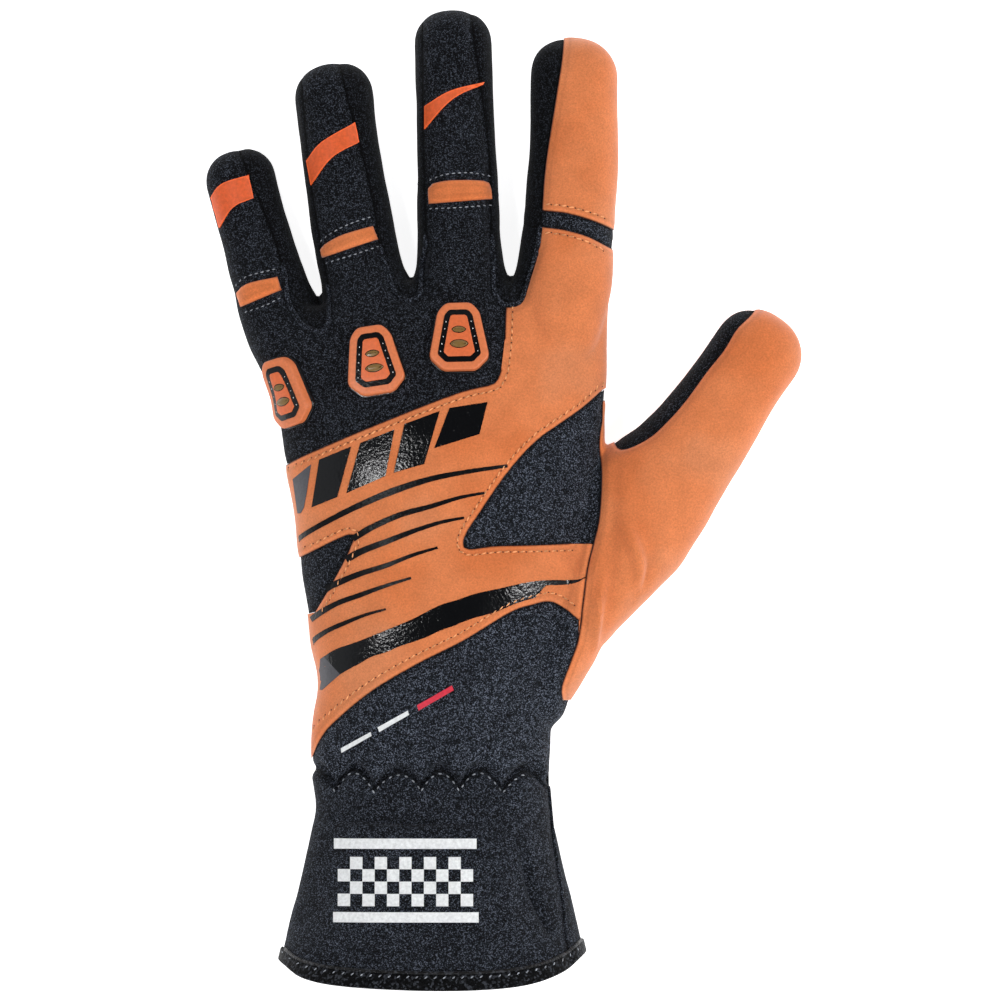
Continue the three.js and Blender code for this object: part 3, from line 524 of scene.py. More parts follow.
def add_finger(bm, finger, sections):
    """Adds a finger with a domed tip."""
    length, width, depth = finger["length"], finger["width"], finger["depth"]
    radius = TIP_RADIUS_SHARE * width
    dome = length - radius
    rows = [dict(along=row["along"] * length, half=row["width"] * width / 2, low=row["low"] * depth,
                 high=row["high"] * depth, shift=row["shift"] * finger["sway"])
            for row in sections if row["along"] * length < dome - 1]
    rows.append(dict(rows[-1], along=dome))
    rows = resample(rows, SECTION_STEP)
    last = rows[-1]
    middle = last["low"] + (last["high"] - last["low"]) * SIDE_LINE
    for degrees in TIP_DEGREES:
        angle = math.radians(degrees)
        share = math.cos(angle) ** TIP_SQUARENESS
        rows.append(dict(along=dome + radius * math.sin(angle), half=last["half"] * share, shift=last["shift"],
                         low=middle + (last["low"] - middle) * share, high=middle + (last["high"] - middle) * share))
    rings = []
    for row in rows:
        place, sideways = finger_place(finger, row["along"] / length)
        left, right = (place + sideways * (side * row["half"] - row["shift"]) for side in (-1, 1))
        rings.append(section_ring(left, right, row["low"], row["high"]))
    add_skin(bm, rings, FINGER_SIDES)


def add_hand(bm):
    """Adds the hand and the cuff."""
    rows = []
    wrist = HAND_SECTIONS[0]
    for row in CUFF_SECTIONS:
        flare = row["flare"]
        rows.append(dict(y=-row["along"] * CUFF_LENGTH, half=(WRIST_WIDTH + (CUFF_WIDTH - WRIST_WIDTH) * flare) / 2,
                         x=CUFF_CENTRE * HAND_WIDTH, slant=0.0,
                         low=wrist["low"] * HAND_DEPTH + (-FLOOR_SAG - wrist["low"] * HAND_DEPTH)
                         * min(1, flare * 1.6),
                         high=wrist["high"] * HAND_DEPTH + (CUFF_DEPTH - wrist["high"] * HAND_DEPTH) * flare))
    for row in HAND_SECTIONS:
        rows.append(dict(y=(row["along"] + row["slant"] / 2) * HAND_LENGTH,
                         half=(WRIST_WIDTH + (HAND_WIDTH - WRIST_WIDTH) * row["swell"]) / 2,
                         x=row["centre"] * HAND_WIDTH, slant=row["slant"] * HAND_LENGTH / 2,
                         low=row["low"] * HAND_DEPTH - FLOOR_SAG * (1 - row["low"]), high=row["high"] * HAND_DEPTH))
    rings = []
    for row in resample(rows, SECTION_STEP):
        middle, slope = np.array([row["x"], row["y"]]), np.array([row["half"], row["slant"]])
        rings.append(section_ring(middle - slope, middle + slope, row["low"], row["high"]))
    add_skin(bm, rings, HAND_SIDES)


def made_mesh(bm):
    """A mesh of the bmesh, which is used up."""
    mesh = bpy.data.meshes.new("work")
    bm.to_mesh(mesh)
    bm.free()
    return mesh


def linked_object(name, data):
    """A new object in the scene."""
    made = bpy.data.objects.new(name, data)
    bpy.context.scene.collection.objects.link(made)
    return made


def applied(mesh, *modifiers):
    """The mesh with modifiers applied, each a kind and its settings. The mesh that went in is used up."""
    carrier = linked_object("work", mesh)
    for kind, settings in modifiers:
        modifier = carrier.modifiers.new(kind, kind)
        for setting, value in settings.items():
            setattr(modifier, setting, value)
    made = bpy.data.meshes.new_from_object(carrier.evaluated_get(bpy.context.evaluated_depsgraph_get()))
    bpy.data.objects.remove(carrier)
    bpy.data.meshes.remove(mesh)
    return made


def cut(mesh, cutter, operation="INTERSECT"):
    """The mesh cut by another one, which is kept."""
    tool = linked_object("work", cutter)
    made = applied(mesh, ("BOOLEAN", dict(object=tool, operation=operation, solver="MANIFOLD")))
    bpy.data.objects.remove(tool)
    return made


def places(mesh):
    """The mesh's points as rows."""
    values = np.empty(len(mesh.vertices) * 3, np.float32)
    mesh.vertices.foreach_get("co", values)
    return values.reshape(-1, 3).astype(float)


def outward(mesh):
    """The way out of the mesh at each of its points."""
    values = np.empty(len(mesh.vertices) * 3, np.float32)
    mesh.vertices.foreach_get("normal", values)
    return values.reshape(-1, 3).astype(float)


def move_to(mesh, points):
    """Moves the mesh's points to rows of places."""
    mesh.vertices.foreach_set("co", np.ascontiguousarray(points, np.float32).ravel())
    mesh.update()


def gathers(points):
    """How the cloth is drawn in along the elastic's zigzag and puffs out between its stitches."""
    x, y = points[:, 0], points[:, 1]
    # In millimetres over and under the stitches: a narrow pinch on them, and rounder puffs on both sides
    phase = (x - GATHER_LINE) * 2 * math.pi / GATHER_PITCH
    over = y - gather_height(x)
    up, down = np.maximum(over, 0), np.maximum(-over, 0)
    valley, peak = 0.5 - 0.5 * np.cos(phase), 0.5 + 0.5 * np.cos(phase)
    pinch = -(2.1 + 0.9 * peak) * np.exp(-(((over - 0.9) / 1.4) ** 2))
    above = (0.6 + 1.5 * valley) * smoothstep(up, 1.0, 4.2) * np.exp(-up / 8)
    beneath = (0.35 + 0.9 * peak) * smoothstep(down, -0.3, 2.4) * np.exp(-down / 7)
    return pinch + above + beneath


# The simulated cloth: the spacing of its points, its frames, how far a point may move in and out, and how far from a
# pad's middle it is held, in millimetres. It is stiff enough to stay smooth, a little too large, and filled with air.
SIMULATED_DETAIL, SIMULATED_FRAMES, SIMULATED_REACH, HELD_ROUND_PADS = 2.6, 20, (-1.5, 2.5), 12.5
CLOTH_SETTINGS = dict(quality=6, mass=0.15, tension_stiffness=12, compression_stiffness=6, shear_stiffness=4,
                      bending_stiffness=6, use_pressure=True, uniform_pressure_force=4, shrink_min=-0.04)


@cache
def settled_cloth():
    """Simulated cloth that is held at its seams and pads: a tree of its resting points, and how far each moves out."""
    mesh = filled_form(SIMULATED_DETAIL, 4)
    points, normals = places(mesh), outward(mesh)
    held = np.clip(1 - (from_seam(points, normals) - 1) / 3, 0, 1)
    held[points[:, 2] < 1] = 1
    for pad in PADS:
        held[np.hypot(*(points[:, :2] - shares((pad["across"], pad["along"]))).T) < HELD_ROUND_PADS] = 1
    move_to(mesh, points * MM)
    body = linked_object("work", mesh)
    seams = body.vertex_groups.new(name="seams")
    for index in np.flatnonzero(held):
        seams.add([int(index)], float(held[index]), "REPLACE")
    cloth = body.modifiers.new("cloth", "CLOTH")
    for setting, value in CLOTH_SETTINGS.items():
        setattr(cloth.settings, setting, value)
    cloth.settings.effector_weights.gravity = 0
    cloth.settings.vertex_group_mass = seams.name
    cloth.collision_settings.use_collision = False
    for number in range(1, SIMULATED_FRAMES + 1):
        bpy.context.scene.frame_set(number)
    made = bpy.data.meshes.new_from_object(body.evaluated_get(bpy.context.evaluated_depsgraph_get()))
    moved = np.clip(np.einsum("ij,ij->i", places(made) / MM - points, normals), *SIMULATED_REACH)
    bpy.context.scene.frame_set(1)
    bpy.data.objects.remove(body)
    ends = np.array([edge.vertices for edge in made.edges]).T
    beside = np.bincount(ends.ravel(), minlength=len(points))
    for _ in range(9):
        # Each point goes halfway to the mean of those beside it
        around = sum(np.bincount(a, moved[b], len(points)) for a, b in (ends, ends[::-1]))
        moved = (moved + around / beside) / 2
    tree = KDTree(len(points))
    for index, point in enumerate(points):
        tree.insert(point, index)
    tree.balance()
    return tree, moved


# What the form takes of the simulated cloth: a share of its rise, less an even sink. Then the height of the small
# unevenness that is added, and its two wavelengths in millimetres.
SETTLING_SHARE, SETTLING_SINK, UNEVENNESS, WAVELENGTHS = 0.6, 0.2, 0.3, (17, 7)
# Round a web's foot: how far the cloth is drawn along with it, and how far its sides fill
WEB_DRAW, WEB_FILL = 6.0, 4.2
# The pinch across a finger at its flex strip: half its length, its depth and its width
STRIP_PINCH = dict(half=11, depth=0.55, width=3.4)


def settling(points):
    """How far the simulated cloth stands out at points of the form."""
    tree, moved = settled_cloth()
    near = [tree.find_n(point, 4) for point in points]
    index = np.array([[found[1] for found in row] for row in near])
    weight = 1 / (np.array([[found[2] for found in row] for row in near]) + 0.3) ** 2
    return np.sum(moved[index] * weight, axis=1) / np.sum(weight, axis=1)


def relief(points, normals):
    """How far the cloth stands out from the filled form: seams, folds, gathers and its unevenness."""
    top = smoothstep(points[:, 2], 1.5, 7)
    rise = gathers(points) * (0.3 + 0.7 * top * smoothstep(normals[:, 2], 0.0, 0.6))
    rise += top * (SETTLING_SHARE * settling(points) - SETTLING_SINK)
    facing = 0.35 + 0.65 * smoothstep(normals[:, 2], 0.0, 0.55)
    for line, depth, width in seam_dips():
        distance, _ = on_cloth(points, normals, line)
        rise -= top * facing * depth * np.exp(-((distance / width) ** 2))
    steep = np.sqrt(np.clip(1 - normals[:, 2] ** 2, 0, 1))
    for foot in WEB_FEET:
        off = points[:, :2] - np.add(foot["place"], foot["drawn"])
        rise += foot["fill"] * steep * np.exp(-(np.hypot(*off.T) / WEB_FILL) ** 2)
    for fold in FOLDS:
        line = smoothed(fold["line"], 2)
        distance, along = on_cloth(points, normals, line, 14)
        length = float(np.hypot(*np.diff(line, axis=0).T).sum())
        fade = np.sin(np.pi * np.clip(0.12 + 0.76 * along / length, 0, 1))
        rise -= top * fold["depth"] * fade * np.exp(-((distance / fold["width"]) ** 2))
    long, short = WAVELENGTHS
    soft = np.array([noise.noise(Vector(p) / long + Vector((3, 1, 7))) + 0.45 * noise.noise(Vector(p) / short)
                     for p in points])
    return rise + UNEVENNESS * top * soft


def seam_dips():
    """Seams that draw the cloth in: each a line, its depth and its width."""
    dip = size("seam_dip")
    lines = []
    for down, web, up in web_seams().values():
        lines += [(np.vstack([down, web]), dip, 1.6), (up, dip * 0.3, 1.6)]
    lines += [(seam_line(seam), dip * 0.6, 1.8) for seam in PANEL_SEAMS]
    for outline in FLEX_STRIPS.values():
        middle = np.mean(outline, axis=0)
        way = np.subtract(outline[-2], outline[0])
        way /= np.linalg.norm(way)
        reach = way * STRIP_PINCH["half"]
        lines.append((np.array([middle - reach, middle + reach]), STRIP_PINCH["depth"], STRIP_PINCH["width"]))
    return lines


def filled_form(detail, smoothing):
    """The filled-out glove at a spacing of points in millimetres, its fingers and thumb grown into the hand."""
    bm = bmesh.new()
    add_hand(bm)
    for finger in (LITTLE, RING, MIDDLE, INDEX):
        add_finger(bm, finger, FINGER_SECTIONS)
    add_finger(bm, THUMB, THUMB_SECTIONS)
    bmesh.ops.recalc_face_normals(bm, faces=bm.faces)
    return applied(made_mesh(bm), ("REMESH", dict(mode="VOXEL", voxel_size=detail)),
                   ("SMOOTH", dict(factor=0.5, iterations=smoothing)))


@cache
def cloth_form(detail):
    """The glove's outside with its relief at a spacing of points in millimetres, and the way out at each point."""
    mesh = filled_form(detail, round(9 / detail))
    bm = bmesh.new()
    bm.from_mesh(mesh)
    webs = [Vector((*np.mean(smoothed(seam)[3:-3], axis=0) + (0, 3), 0)) for seam in WEB_SEAMS.values()]
    near = [vert for vert in bm.verts if min((vert.co.xy - web.xy).length for web in webs) < 6]
    for _ in range(round(32 / detail)):
        bmesh.ops.smooth_vert(bm, verts=near, factor=0.5, use_axis_x=True, use_axis_y=True, use_axis_z=True)
    bm.to_mesh(mesh)
    bm.free()
    points = places(mesh)
    for foot in WEB_FEET:
        near = np.exp(-(np.hypot(*(points[:, :2] - foot["place"]).T) / WEB_DRAW) ** 2)
        points[:, :2] += near[:, None] * foot["drawn"]
    move_to(mesh, points)
    normals = outward(mesh)
    points += normals * relief(points, normals)[:, None]
    points[:, 2] = np.maximum(points[:, 2], 0)
    move_to(mesh, points)
    return mesh, points, outward(mesh)


def moved_out(detail, by):
    """A copy of the form, moved out by a distance, but never through the floor."""
    mesh, points, normals = cloth_form(detail)
    copy = mesh.copy()
    moved = points + normals * by
    if by >= 0:
        moved[:, 2] = np.maximum(moved[:, 2], 0)
    move_to(copy, moved)
    return copy


def shell(outside, inside, detail):
    """A closed wall between two distances out from the cloth. Its inner side has fewer points."""
    bm = bmesh.new()
    bm.from_mesh(moved_out(2 * size("voxel"), inside))
    bmesh.ops.reverse_faces(bm, faces=bm.faces)
    bm.from_mesh(moved_out(detail, outside))
    return made_mesh(bm)


def prism(outline, low, high):
    """A block that stands on an outline in plan, between two heights."""
    bm = bmesh.new()
    foot = bm.faces.new([bm.verts.new((x, y, low)) for x, y in outline])
    made = bmesh.ops.extrude_face_region(bm, geom=[foot])["geom"]
    bmesh.ops.translate(bm, vec=(0, 0, high - low), verts=[v for v in made if isinstance(v, bmesh.types.BMVert)])
    bmesh.ops.recalc_face_normals(bm, faces=bm.faces)
    return made_mesh(bm)


def grown(outline, by):
    """An outline in plan, moved outwards."""
    outline = np.asarray(outline, float)
    x, y = outline.T
    if np.sum(x * np.roll(y, -1) - y * np.roll(x, -1)) < 0:
        outline = outline[::-1]
    before, after = np.roll(outline, 1, axis=0), np.roll(outline, -1, axis=0)
    inward, onward = outline - before, after - outline
    inward /= np.linalg.norm(inward, axis=1)[:, None]
    onward /= np.linalg.norm(onward, axis=1)[:, None]
    side = np.column_stack([inward[:, 1] + onward[:, 1], -inward[:, 0] - onward[:, 0]])
    side /= np.linalg.norm(side, axis=1)[:, None]
    spread = np.maximum(0.5, side[:, 0] * inward[:, 1] - side[:, 1] * inward[:, 0])
    return outline + side * (by / spread)[:, None]


# Panels

FAR_LEFT, FAR_RIGHT, NEAREST = -HAND_WIDTH, HAND_WIDTH * 1.5, -CUFF_LENGTH - 40
# Heights under and over the whole glove
UNDER, OVER = -20.0, 120.0
EVERYWHERE = (UNDER, OVER)


def web_seams():
    """The seams of the side walls between fingers by name: down one finger, round the web and up the next one."""
    seams = {}
    for name, left, right in zip(WEB_SEAMS, (LITTLE, RING, MIDDLE), (RING, MIDDLE, INDEX)):
        down, up = finger_seam(left, "right"), finger_seam(right, "left")[::-1]
        web = smoothed(WEB_SEAMS[name])
        seams[name] = [down[down[:, 1] > web[0][1] + 1], web, up[up[:, 1] > web[-1][1] + 1]]
    return seams


def panel_outlines():
    """Every panel in the order that it is cut: its name, its layer, its outline, and its lowest and highest point."""
    cuff_top, cuff_side = gather_line(), seam_line(CUFF_SIDE_SEAM)
    thumb_seam, strip_edge = seam_line(THUMB_SEAM), seam_line(THUMB_STRIP_EDGE)
    above_thumb = [(FAR_RIGHT, 1.2 * HAND_LENGTH), *shares([(0.62, 1.2), (0.5, 0.8)])]
    lower_edge, wrist_side = seam_line(SUEDE_LOWER_EDGE), seam_line(WRIST_SIDE_EDGE)
    upper_edge, side_edge = seam_line(SUEDE_UPPER_EDGE), seam_line(SUEDE_SIDE_EDGE)
    band_top, band_foot = seam_line(INDEX_BAND_TOP), seam_line(INDEX_BAND_FOOT)
    index_side = finger_seam(INDEX, "left")
    index_side = index_side[index_side[:, 1] < HAND_LENGTH + 0.52 * INDEX["length"]][::-1]
    web = smoothed(WEB_SEAMS["fourchette_middle_index"])
    web = web[web[:, 0] > 15.4]
    index_side = [*web, *index_side[index_side[:, 1] > web[-1][1] + 1]]
    return [
        ("cuff_back", "knit", [*cuff_top[cuff_top[:, 0] < cuff_side[0][0]], *cuff_side,
                               (cuff_side[-1][0], NEAREST), (cuff_top[0][0], NEAREST)], (CUFF_SEAM_HEIGHT, OVER)),
        ("cuff_gusset", "knit", [*cuff_top, (cuff_top[-1][0], NEAREST), (cuff_top[0][0], NEAREST)], EVERYWHERE),
        ("thumb_strip", "knit", [*strip_edge, *above_thumb], (THUMB_STRIP_HEIGHT, OVER)),
        ("thumb_suede", "suede", [*thumb_seam, (FAR_RIGHT, thumb_seam[-1][1]), *above_thumb], EVERYWHERE),
        ("palm", "knit", [(FAR_LEFT, PALM_WRIST_SEAM * HAND_LENGTH), (FAR_RIGHT, PALM_WRIST_SEAM * HAND_LENGTH),
                          (FAR_RIGHT, 2 * HAND_LENGTH), (FAR_LEFT, 2 * HAND_LENGTH)], (UNDER, PALM_SEAM_HEIGHT)),
        ("wrist", "knit", [(FAR_LEFT, lower_edge[0][1]), *lower_edge, *wrist_side,
                           (FAR_RIGHT, wrist_side[-1][1]), (FAR_RIGHT, NEAREST), (FAR_LEFT, NEAREST)], EVERYWHERE),
        ("side_inset", "knit", [shares(SIDE_INSET[0]), *seam_line(SIDE_INSET[1:-1]), shares(SIDE_INSET[-1])],
         EVERYWHERE),
        ("web_inset", "knit", [shares(WEB_INSET[0]), *seam_line(WEB_INSET[1:-1]), shares(WEB_INSET[-1])],
         EVERYWHERE),
        *[(name, "knit", np.vstack(seams), EVERYWHERE) for name, seams in web_seams().items()],
        ("index_tip", "suede", [*band_top, (FAR_RIGHT, 1.7 * HAND_LENGTH), shares((0.2, 1.7))], EVERYWHERE),
        ("index_band", "knit", [*band_foot, *(band_top[::-1] + (0, 3))], EVERYWHERE),
        ("hand_suede", "suede", [*upper_edge, *side_edge, *index_side, (FAR_RIGHT, index_side[-1][1]),
                                 (FAR_RIGHT, 0.0), (FAR_LEFT, 0.0), (FAR_LEFT, 0.5 * HAND_LENGTH)], EVERYWHERE),
        ("hand_back", "knit", [(FAR_LEFT, 0), (FAR_RIGHT, 0), (FAR_RIGHT, 2 * HAND_LENGTH),
                               (FAR_LEFT, 2 * HAND_LENGTH)], EVERYWHERE),
    ]


def below_hem(up=0.0, wider=0.0):
    """A block round everything below the hem's curve, which is moved up the cuff."""
    foot = NEAREST - 30 - 2 * wider
    return prism([*hem_line(up), (70 + wider, foot), (-75 - wider, foot)], UNDER, OVER)


@cache
def cut_panels():
    """Cuts the cloth along its seams into panels by name."""
    ply, gap, detail = size("ply"), size("seam_gap"), size("voxel")
    layers = {"knit": shell(0.0, -ply, detail), "suede": shell(size("suede_lift"), -ply, detail)}
    hem = below_hem(BINDING_WIDTH + gap)
    layers = {name: cut(mesh, hem, "DIFFERENCE") for name, mesh in layers.items()}
    panels = {}
    for name, layer, outline, (low, high) in panel_outlines():
        panels[name] = cut(layers[layer].copy(), prism(outline, low, high))
        wider = prism(grown(outline, gap), low - gap, high + gap)
        layers = {key: cut(mesh, wider, "DIFFERENCE") for key, mesh in layers.items()}
    return {name: whole_part(mesh) for name, mesh in panels.items()}


def whole_part(mesh):
    """The mesh without the slivers that a cut leaves beside it."""
    bm = bmesh.new()
    bm.from_mesh(mesh)
    left, islands = set(bm.verts), []
    while left:
        reached, front = set(), [left.pop()]
        while front:
            vert = front.pop()
            reached.add(vert)
            for edge in vert.link_edges:
                other = edge.other_vert(vert)
                if other in left:
                    left.remove(other)
                    front.append(other)
        islands.append(reached)
    largest = max(map(len, islands))
    for island in islands:
        if len(island) < 0.1 * largest:
            bmesh.ops.delete(bm, geom=list(island), context="VERTS")
    bm.to_mesh(mesh)
    bm.free()
    return mesh


def from_seam(points, normals):
    """How far each point is from the nearest seam, measured on the cloth."""
    lines = [line for line, _, width in seam_dips() if width < 3]
    lines += [gather_line(), hem_line(BINDING_WIDTH)]
    distance = np.full(len(points), 99.0)
    for line in lines:
        distance = np.minimum(distance, on_cloth(points, normals, line)[0])
    steep = np.sqrt(np.clip(1 - normals[:, 2] ** 2, 0.06, 1))
    seam_height = np.where(points[:, 1] < GATHER_LINE, CUFF_SEAM_HEIGHT, PALM_SEAM_HEIGHT)
    return np.minimum(distance, np.abs(points[:, 2] - seam_height) / steep)


def keep_seam(mesh, distance):
    """Keeps each point's distance from its seam, which the materials read."""
    mesh.attributes.new("seam", "FLOAT", "POINT").data.foreach_set("value", distance.astype(np.float32))
    return mesh


def mark_seams(mesh, roll=0.0):
    """Rolls the cut edges of a panel over, and keeps each point's distance from its seam for the material."""
    points, normals = places(mesh), outward(mesh)
    distance = from_seam(points, normals)
    if roll:
        form, base = cloth_tree(), []
        for point in points:
            near, normal, _, _ = form.find_nearest(Vector(point))
            height = (Vector(point) - near).dot(normal)
            base.append(normal * (-roll * (0.3 + 0.7 * max(0.0, normal.z)) if height > 0.25 else 0.0))
        points += np.array(base) * (1 - smoothstep(distance, 0.0, 1.1))[:, None]
        move_to(mesh, points)
    return keep_seam(mesh, distance)


# Finishing a piece


def finish_piece(name, mesh, material, replaces=(), sharp=38):
    """Makes a piece of a mesh in glove millimetres: places it in the frame, and gives it its finish and body."""
    if not mesh.polygons:
        raise RuntimeError(name + " came out empty")
    move_to(mesh, (places(mesh) + ORIGIN) * MM)
    mesh.shade_smooth()
    mesh.set_sharp_from_angle(angle=math.radians(sharp))
    mesh.materials.clear()
    mesh.materials.append(material)
    mesh.name = name
    piece = linked_object(name, mesh)
    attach(piece, "root")
    if replaces:
        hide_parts(*replaces)
    return piece


@cache
def cloth_tree():
    """The cloth's outside for finding places on it."""
    mesh, points, _ = cloth_form(size("voxel"))
    corners = np.empty(len(mesh.loops), np.int32)
    mesh.loops.foreach_get("vertex_index", corners)
    starts = [polygon.loop_start for polygon in mesh.polygons] + [len(corners)]
    faces = [corners[a:b].tolist() for a, b in zip(starts[:-1], starts[1:])]
    return BVHTree.FromPolygons([Vector(p) for p in points], faces)


def under(x, y):
    """The cloth's point straight under a place in plan, and the way out there. Both are None beyond its edge."""
    return cloth_tree().ray_cast(Vector((x, y, 200)), Vector((0, 0, -1)))[:2]


def cloth_spot(x, y):
    """The cloth's point straight under a place in plan, and the way out there. Beyond its edge, the nearest point."""
    point, normal = under(x, y)
    if point is None:
        point, normal, _, _ = cloth_tree().find_nearest(Vector((x, y, 10)))
    return point, normal


# The steepest cloth that carries film or stitches, as the upward share of the way out of it
STEEPEST_FILM, STEEPEST_STITCH = 0.28, 0.2


def eased(outline, sharp=48):
    """A closed outline with smooth curves between its sharp corners, which turn by more than so many degrees."""
    outline = np.asarray(outline, float)
    inward, onward = outline - np.roll(outline, 1, axis=0), np.roll(outline, -1, axis=0) - outline
    cosine = np.sum(inward * onward, axis=1) / np.linalg.norm(inward, axis=1) / np.linalg.norm(onward, axis=1)
    corners = np.flatnonzero(cosine < math.cos(math.radians(sharp)))
    ring = np.vstack([outline, outline])
    spans = zip(corners, [*corners[1:], corners[0] + len(outline)])
    return np.vstack([smoothed(ring[first:last + 1])[:-1] for first, last in spans])


def drawn_in(outline):
    """An outline in plan without the places where the cloth turns down its side, so that nothing laid on it runs."""
    middle = outline.mean(axis=0)
    kept = []
    for place in outline:
        way = (middle - place) / np.linalg.norm(middle - place)
        # In steps of 0.15 mm towards its middle, up to 4.5 mm
        for _ in range(30):
            point, normal = under(*place)
            if point is not None and normal.z > STEEPEST_FILM:
                break
            place = place + way * 0.15
        if not kept or np.hypot(*(place - kept[-1])) > 0.2:
            kept.append(place)
    return np.array(kept)


def draped(outline, ply, lift=0.0, rounding=0.0, grid=1.3, sunk=0.5):
    """A closed film or strip on the cloth with an outline in plan, rounded over at its edge."""
    outline = drawn_in(eased(outline))
    bm = bmesh.new()
    seam = bm.verts.layers.float.new("seam")
    face = bm.faces.new([bm.verts.new((x, y, 0)) for x, y in outline])
    if face.normal.z < 0:
        face.normal_flip()
    if rounding:
        for share in (0.12, 0.3, 0.58):
            bmesh.ops.inset_region(bm, faces=[face], thickness=rounding * share, use_even_offset=True)
    gridded(bm, grid)
    bmesh.ops.triangulate(bm, faces=bm.faces)
    made = bmesh.ops.extrude_face_region(bm, geom=list(bm.faces))["geom"]
    top = {item for item in made if isinstance(item, bmesh.types.BMVert)}
    ring = np.vstack([outline, outline[:1]])
    verts = list(bm.verts)
    edge, _, _ = from_line(np.array([vert.co[:2] for vert in verts]), ring)
    for vert, distance in zip(verts, edge):
        point, normal = cloth_spot(vert.co.x, vert.co.y)
        rise = -sunk
        if vert in top:
            t = 1 - min(1.0, distance / rounding) if rounding else 0
            rise = lift + ply * math.sqrt(max(0.0, 1 - 0.92 * t * t))
        vert.co = point + normal * rise
        vert[seam] = distance + 0.35 if vert in top else 0.0
    bmesh.ops.recalc_face_normals(bm, faces=bm.faces)
    return made_mesh(bm)


def joined(meshes):
    """Several meshes as one."""
    bm = bmesh.new()
    for mesh in meshes:
        bm.from_mesh(mesh)
        bpy.data.meshes.remove(mesh)
    return made_mesh(bm)


# Materials


def plug(tree, node, sockets):
    """Sets a node's sockets, given by name or number, to values, or links them to outputs."""
    for socket, value in sockets.items():
        if isinstance(value, bpy.types.NodeSocket):
            tree.links.new(value, node.inputs[socket])
        else:
            node.inputs[socket].default_value = value


def add_node(tree, kind, sockets, stops=(), **settings):
    """Adds a node with its sockets and settings. Stops are the places and colours of a colour ramp."""
    node = tree.nodes.new("ShaderNode" + kind)
    for setting, value in settings.items():
        setattr(node, setting, value)
    if stops:
        elements = node.color_ramp.elements
        while len(elements) < len(stops):
            elements.new(0.5)
        for element, (place, value) in zip(elements, stops):
            element.position, element.color = place, value
    plug(tree, node, sockets)
    return node


# A Mix node's settings for one colour times another
TIMES = dict(data_type="RGBA", blend_type="MULTIPLY")


def new_material(name):
    """An empty material, its nodes, its shader and its pattern coordinates in metres."""
    material = bpy.data.materials.new(name)
    material.use_nodes = True
    tree = material.node_tree
    tree.nodes.clear()
    shader = add_node(tree, "BsdfPrincipled", {})
    add_node(tree, "OutputMaterial", {"Surface": shader.outputs["BSDF"]})
    return material, tree, shader, add_node(tree, "TexCoord", {}).outputs["Object"]


def shade(values, by):
    """A colour made darker or lighter."""
    return (*[min(1.0, value * by) for value in values[:3]], 1.0)


def per_mm(spacing):
    """The texture scale that puts one grain of a pattern every so many millimetres."""
    return 1 / (spacing * MM)


@cache
def knit_material(tone=1.0):
    """Polyester knit: matt black loops with pale heather fibres."""
    colours = bpy.context.scene.glove_colours
    material, tree, shader, at = new_material(f"polyester_knit_{round(tone * 100)}")
    # Loops every 0.24 mm, each its own shade of the heathered yarn
    loops = add_node(tree, "TexVoronoi", {"Vector": at, "Scale": per_mm(0.24), "Randomness": 1.0})
    fuzz = add_node(tree, "TexNoise", {"Vector": at, "Scale": per_mm(0.7), "Detail": 2.0, "Roughness": 0.7})
    cloudy = add_node(tree, "TexNoise", {"Vector": at, "Scale": per_mm(9), "Detail": 3.0, "Roughness": 0.6})
    base = shade(colours.knit, tone)
    shades = add_node(tree, "SeparateColor", {0: loops.outputs["Color"]})
    yarn = add_node(tree, "Mix", {0: 0.12, 2: shades.outputs[0], 3: fuzz.outputs["Fac"]})
    fibres = add_node(tree, "ValToRGB", {"Fac": yarn.outputs[0]}, [
        (0.15, shade(base, 0.05)), (0.5, shade(base, 0.7)), (0.72, shade(base, 2.2)),
        (0.88, shade(colours.fleck, 1.5 * tone))])
    clouds = add_node(tree, "MapRange", {"Value": cloudy.outputs["Fac"], 1: 0.3, 2: 0.7, 3: 0.85, 4: 1.15})
    # Painted shade along each seam, which also stands for the dark lining in the slit: the knit is drawn darker up to
    # 0.9 mm from it
    seam = add_node(tree, "Attribute", {}, attribute_name="seam")
    seam_shade = add_node(tree, "MapRange", {"Value": seam.outputs["Fac"], 1: 0.0, 2: 0.9, 3: 0.12, 4: 1.0})
    # Random mottling times the painted shade at the seams
    mottle_and_seam_shade = add_node(tree, "Math", {0: clouds.outputs[0], 1: seam_shade.outputs[0]}, operation="MULTIPLY")
    mixed = add_node(tree, "Mix", {6: fibres.outputs["Color"], 7: mottle_and_seam_shade.outputs[0], 0: 1.0}, **TIMES)
    height = add_node(tree, "Math", {0: fuzz.outputs["Fac"], 1: loops.outputs["Distance"]}, operation="SUBTRACT")
    bump = add_node(tree, "Bump", {"Height": height.outputs[0], "Strength": 0.45, "Distance": 0.25 * MM})
    plug(tree, shader, {"Base Color": mixed.outputs[2], "Normal": bump.outputs["Normal"], "Roughness": 0.95,
                        "Specular IOR Level": 0.12, "Sheen Weight": 0.02, "Sheen Roughness": 0.5})
    return material


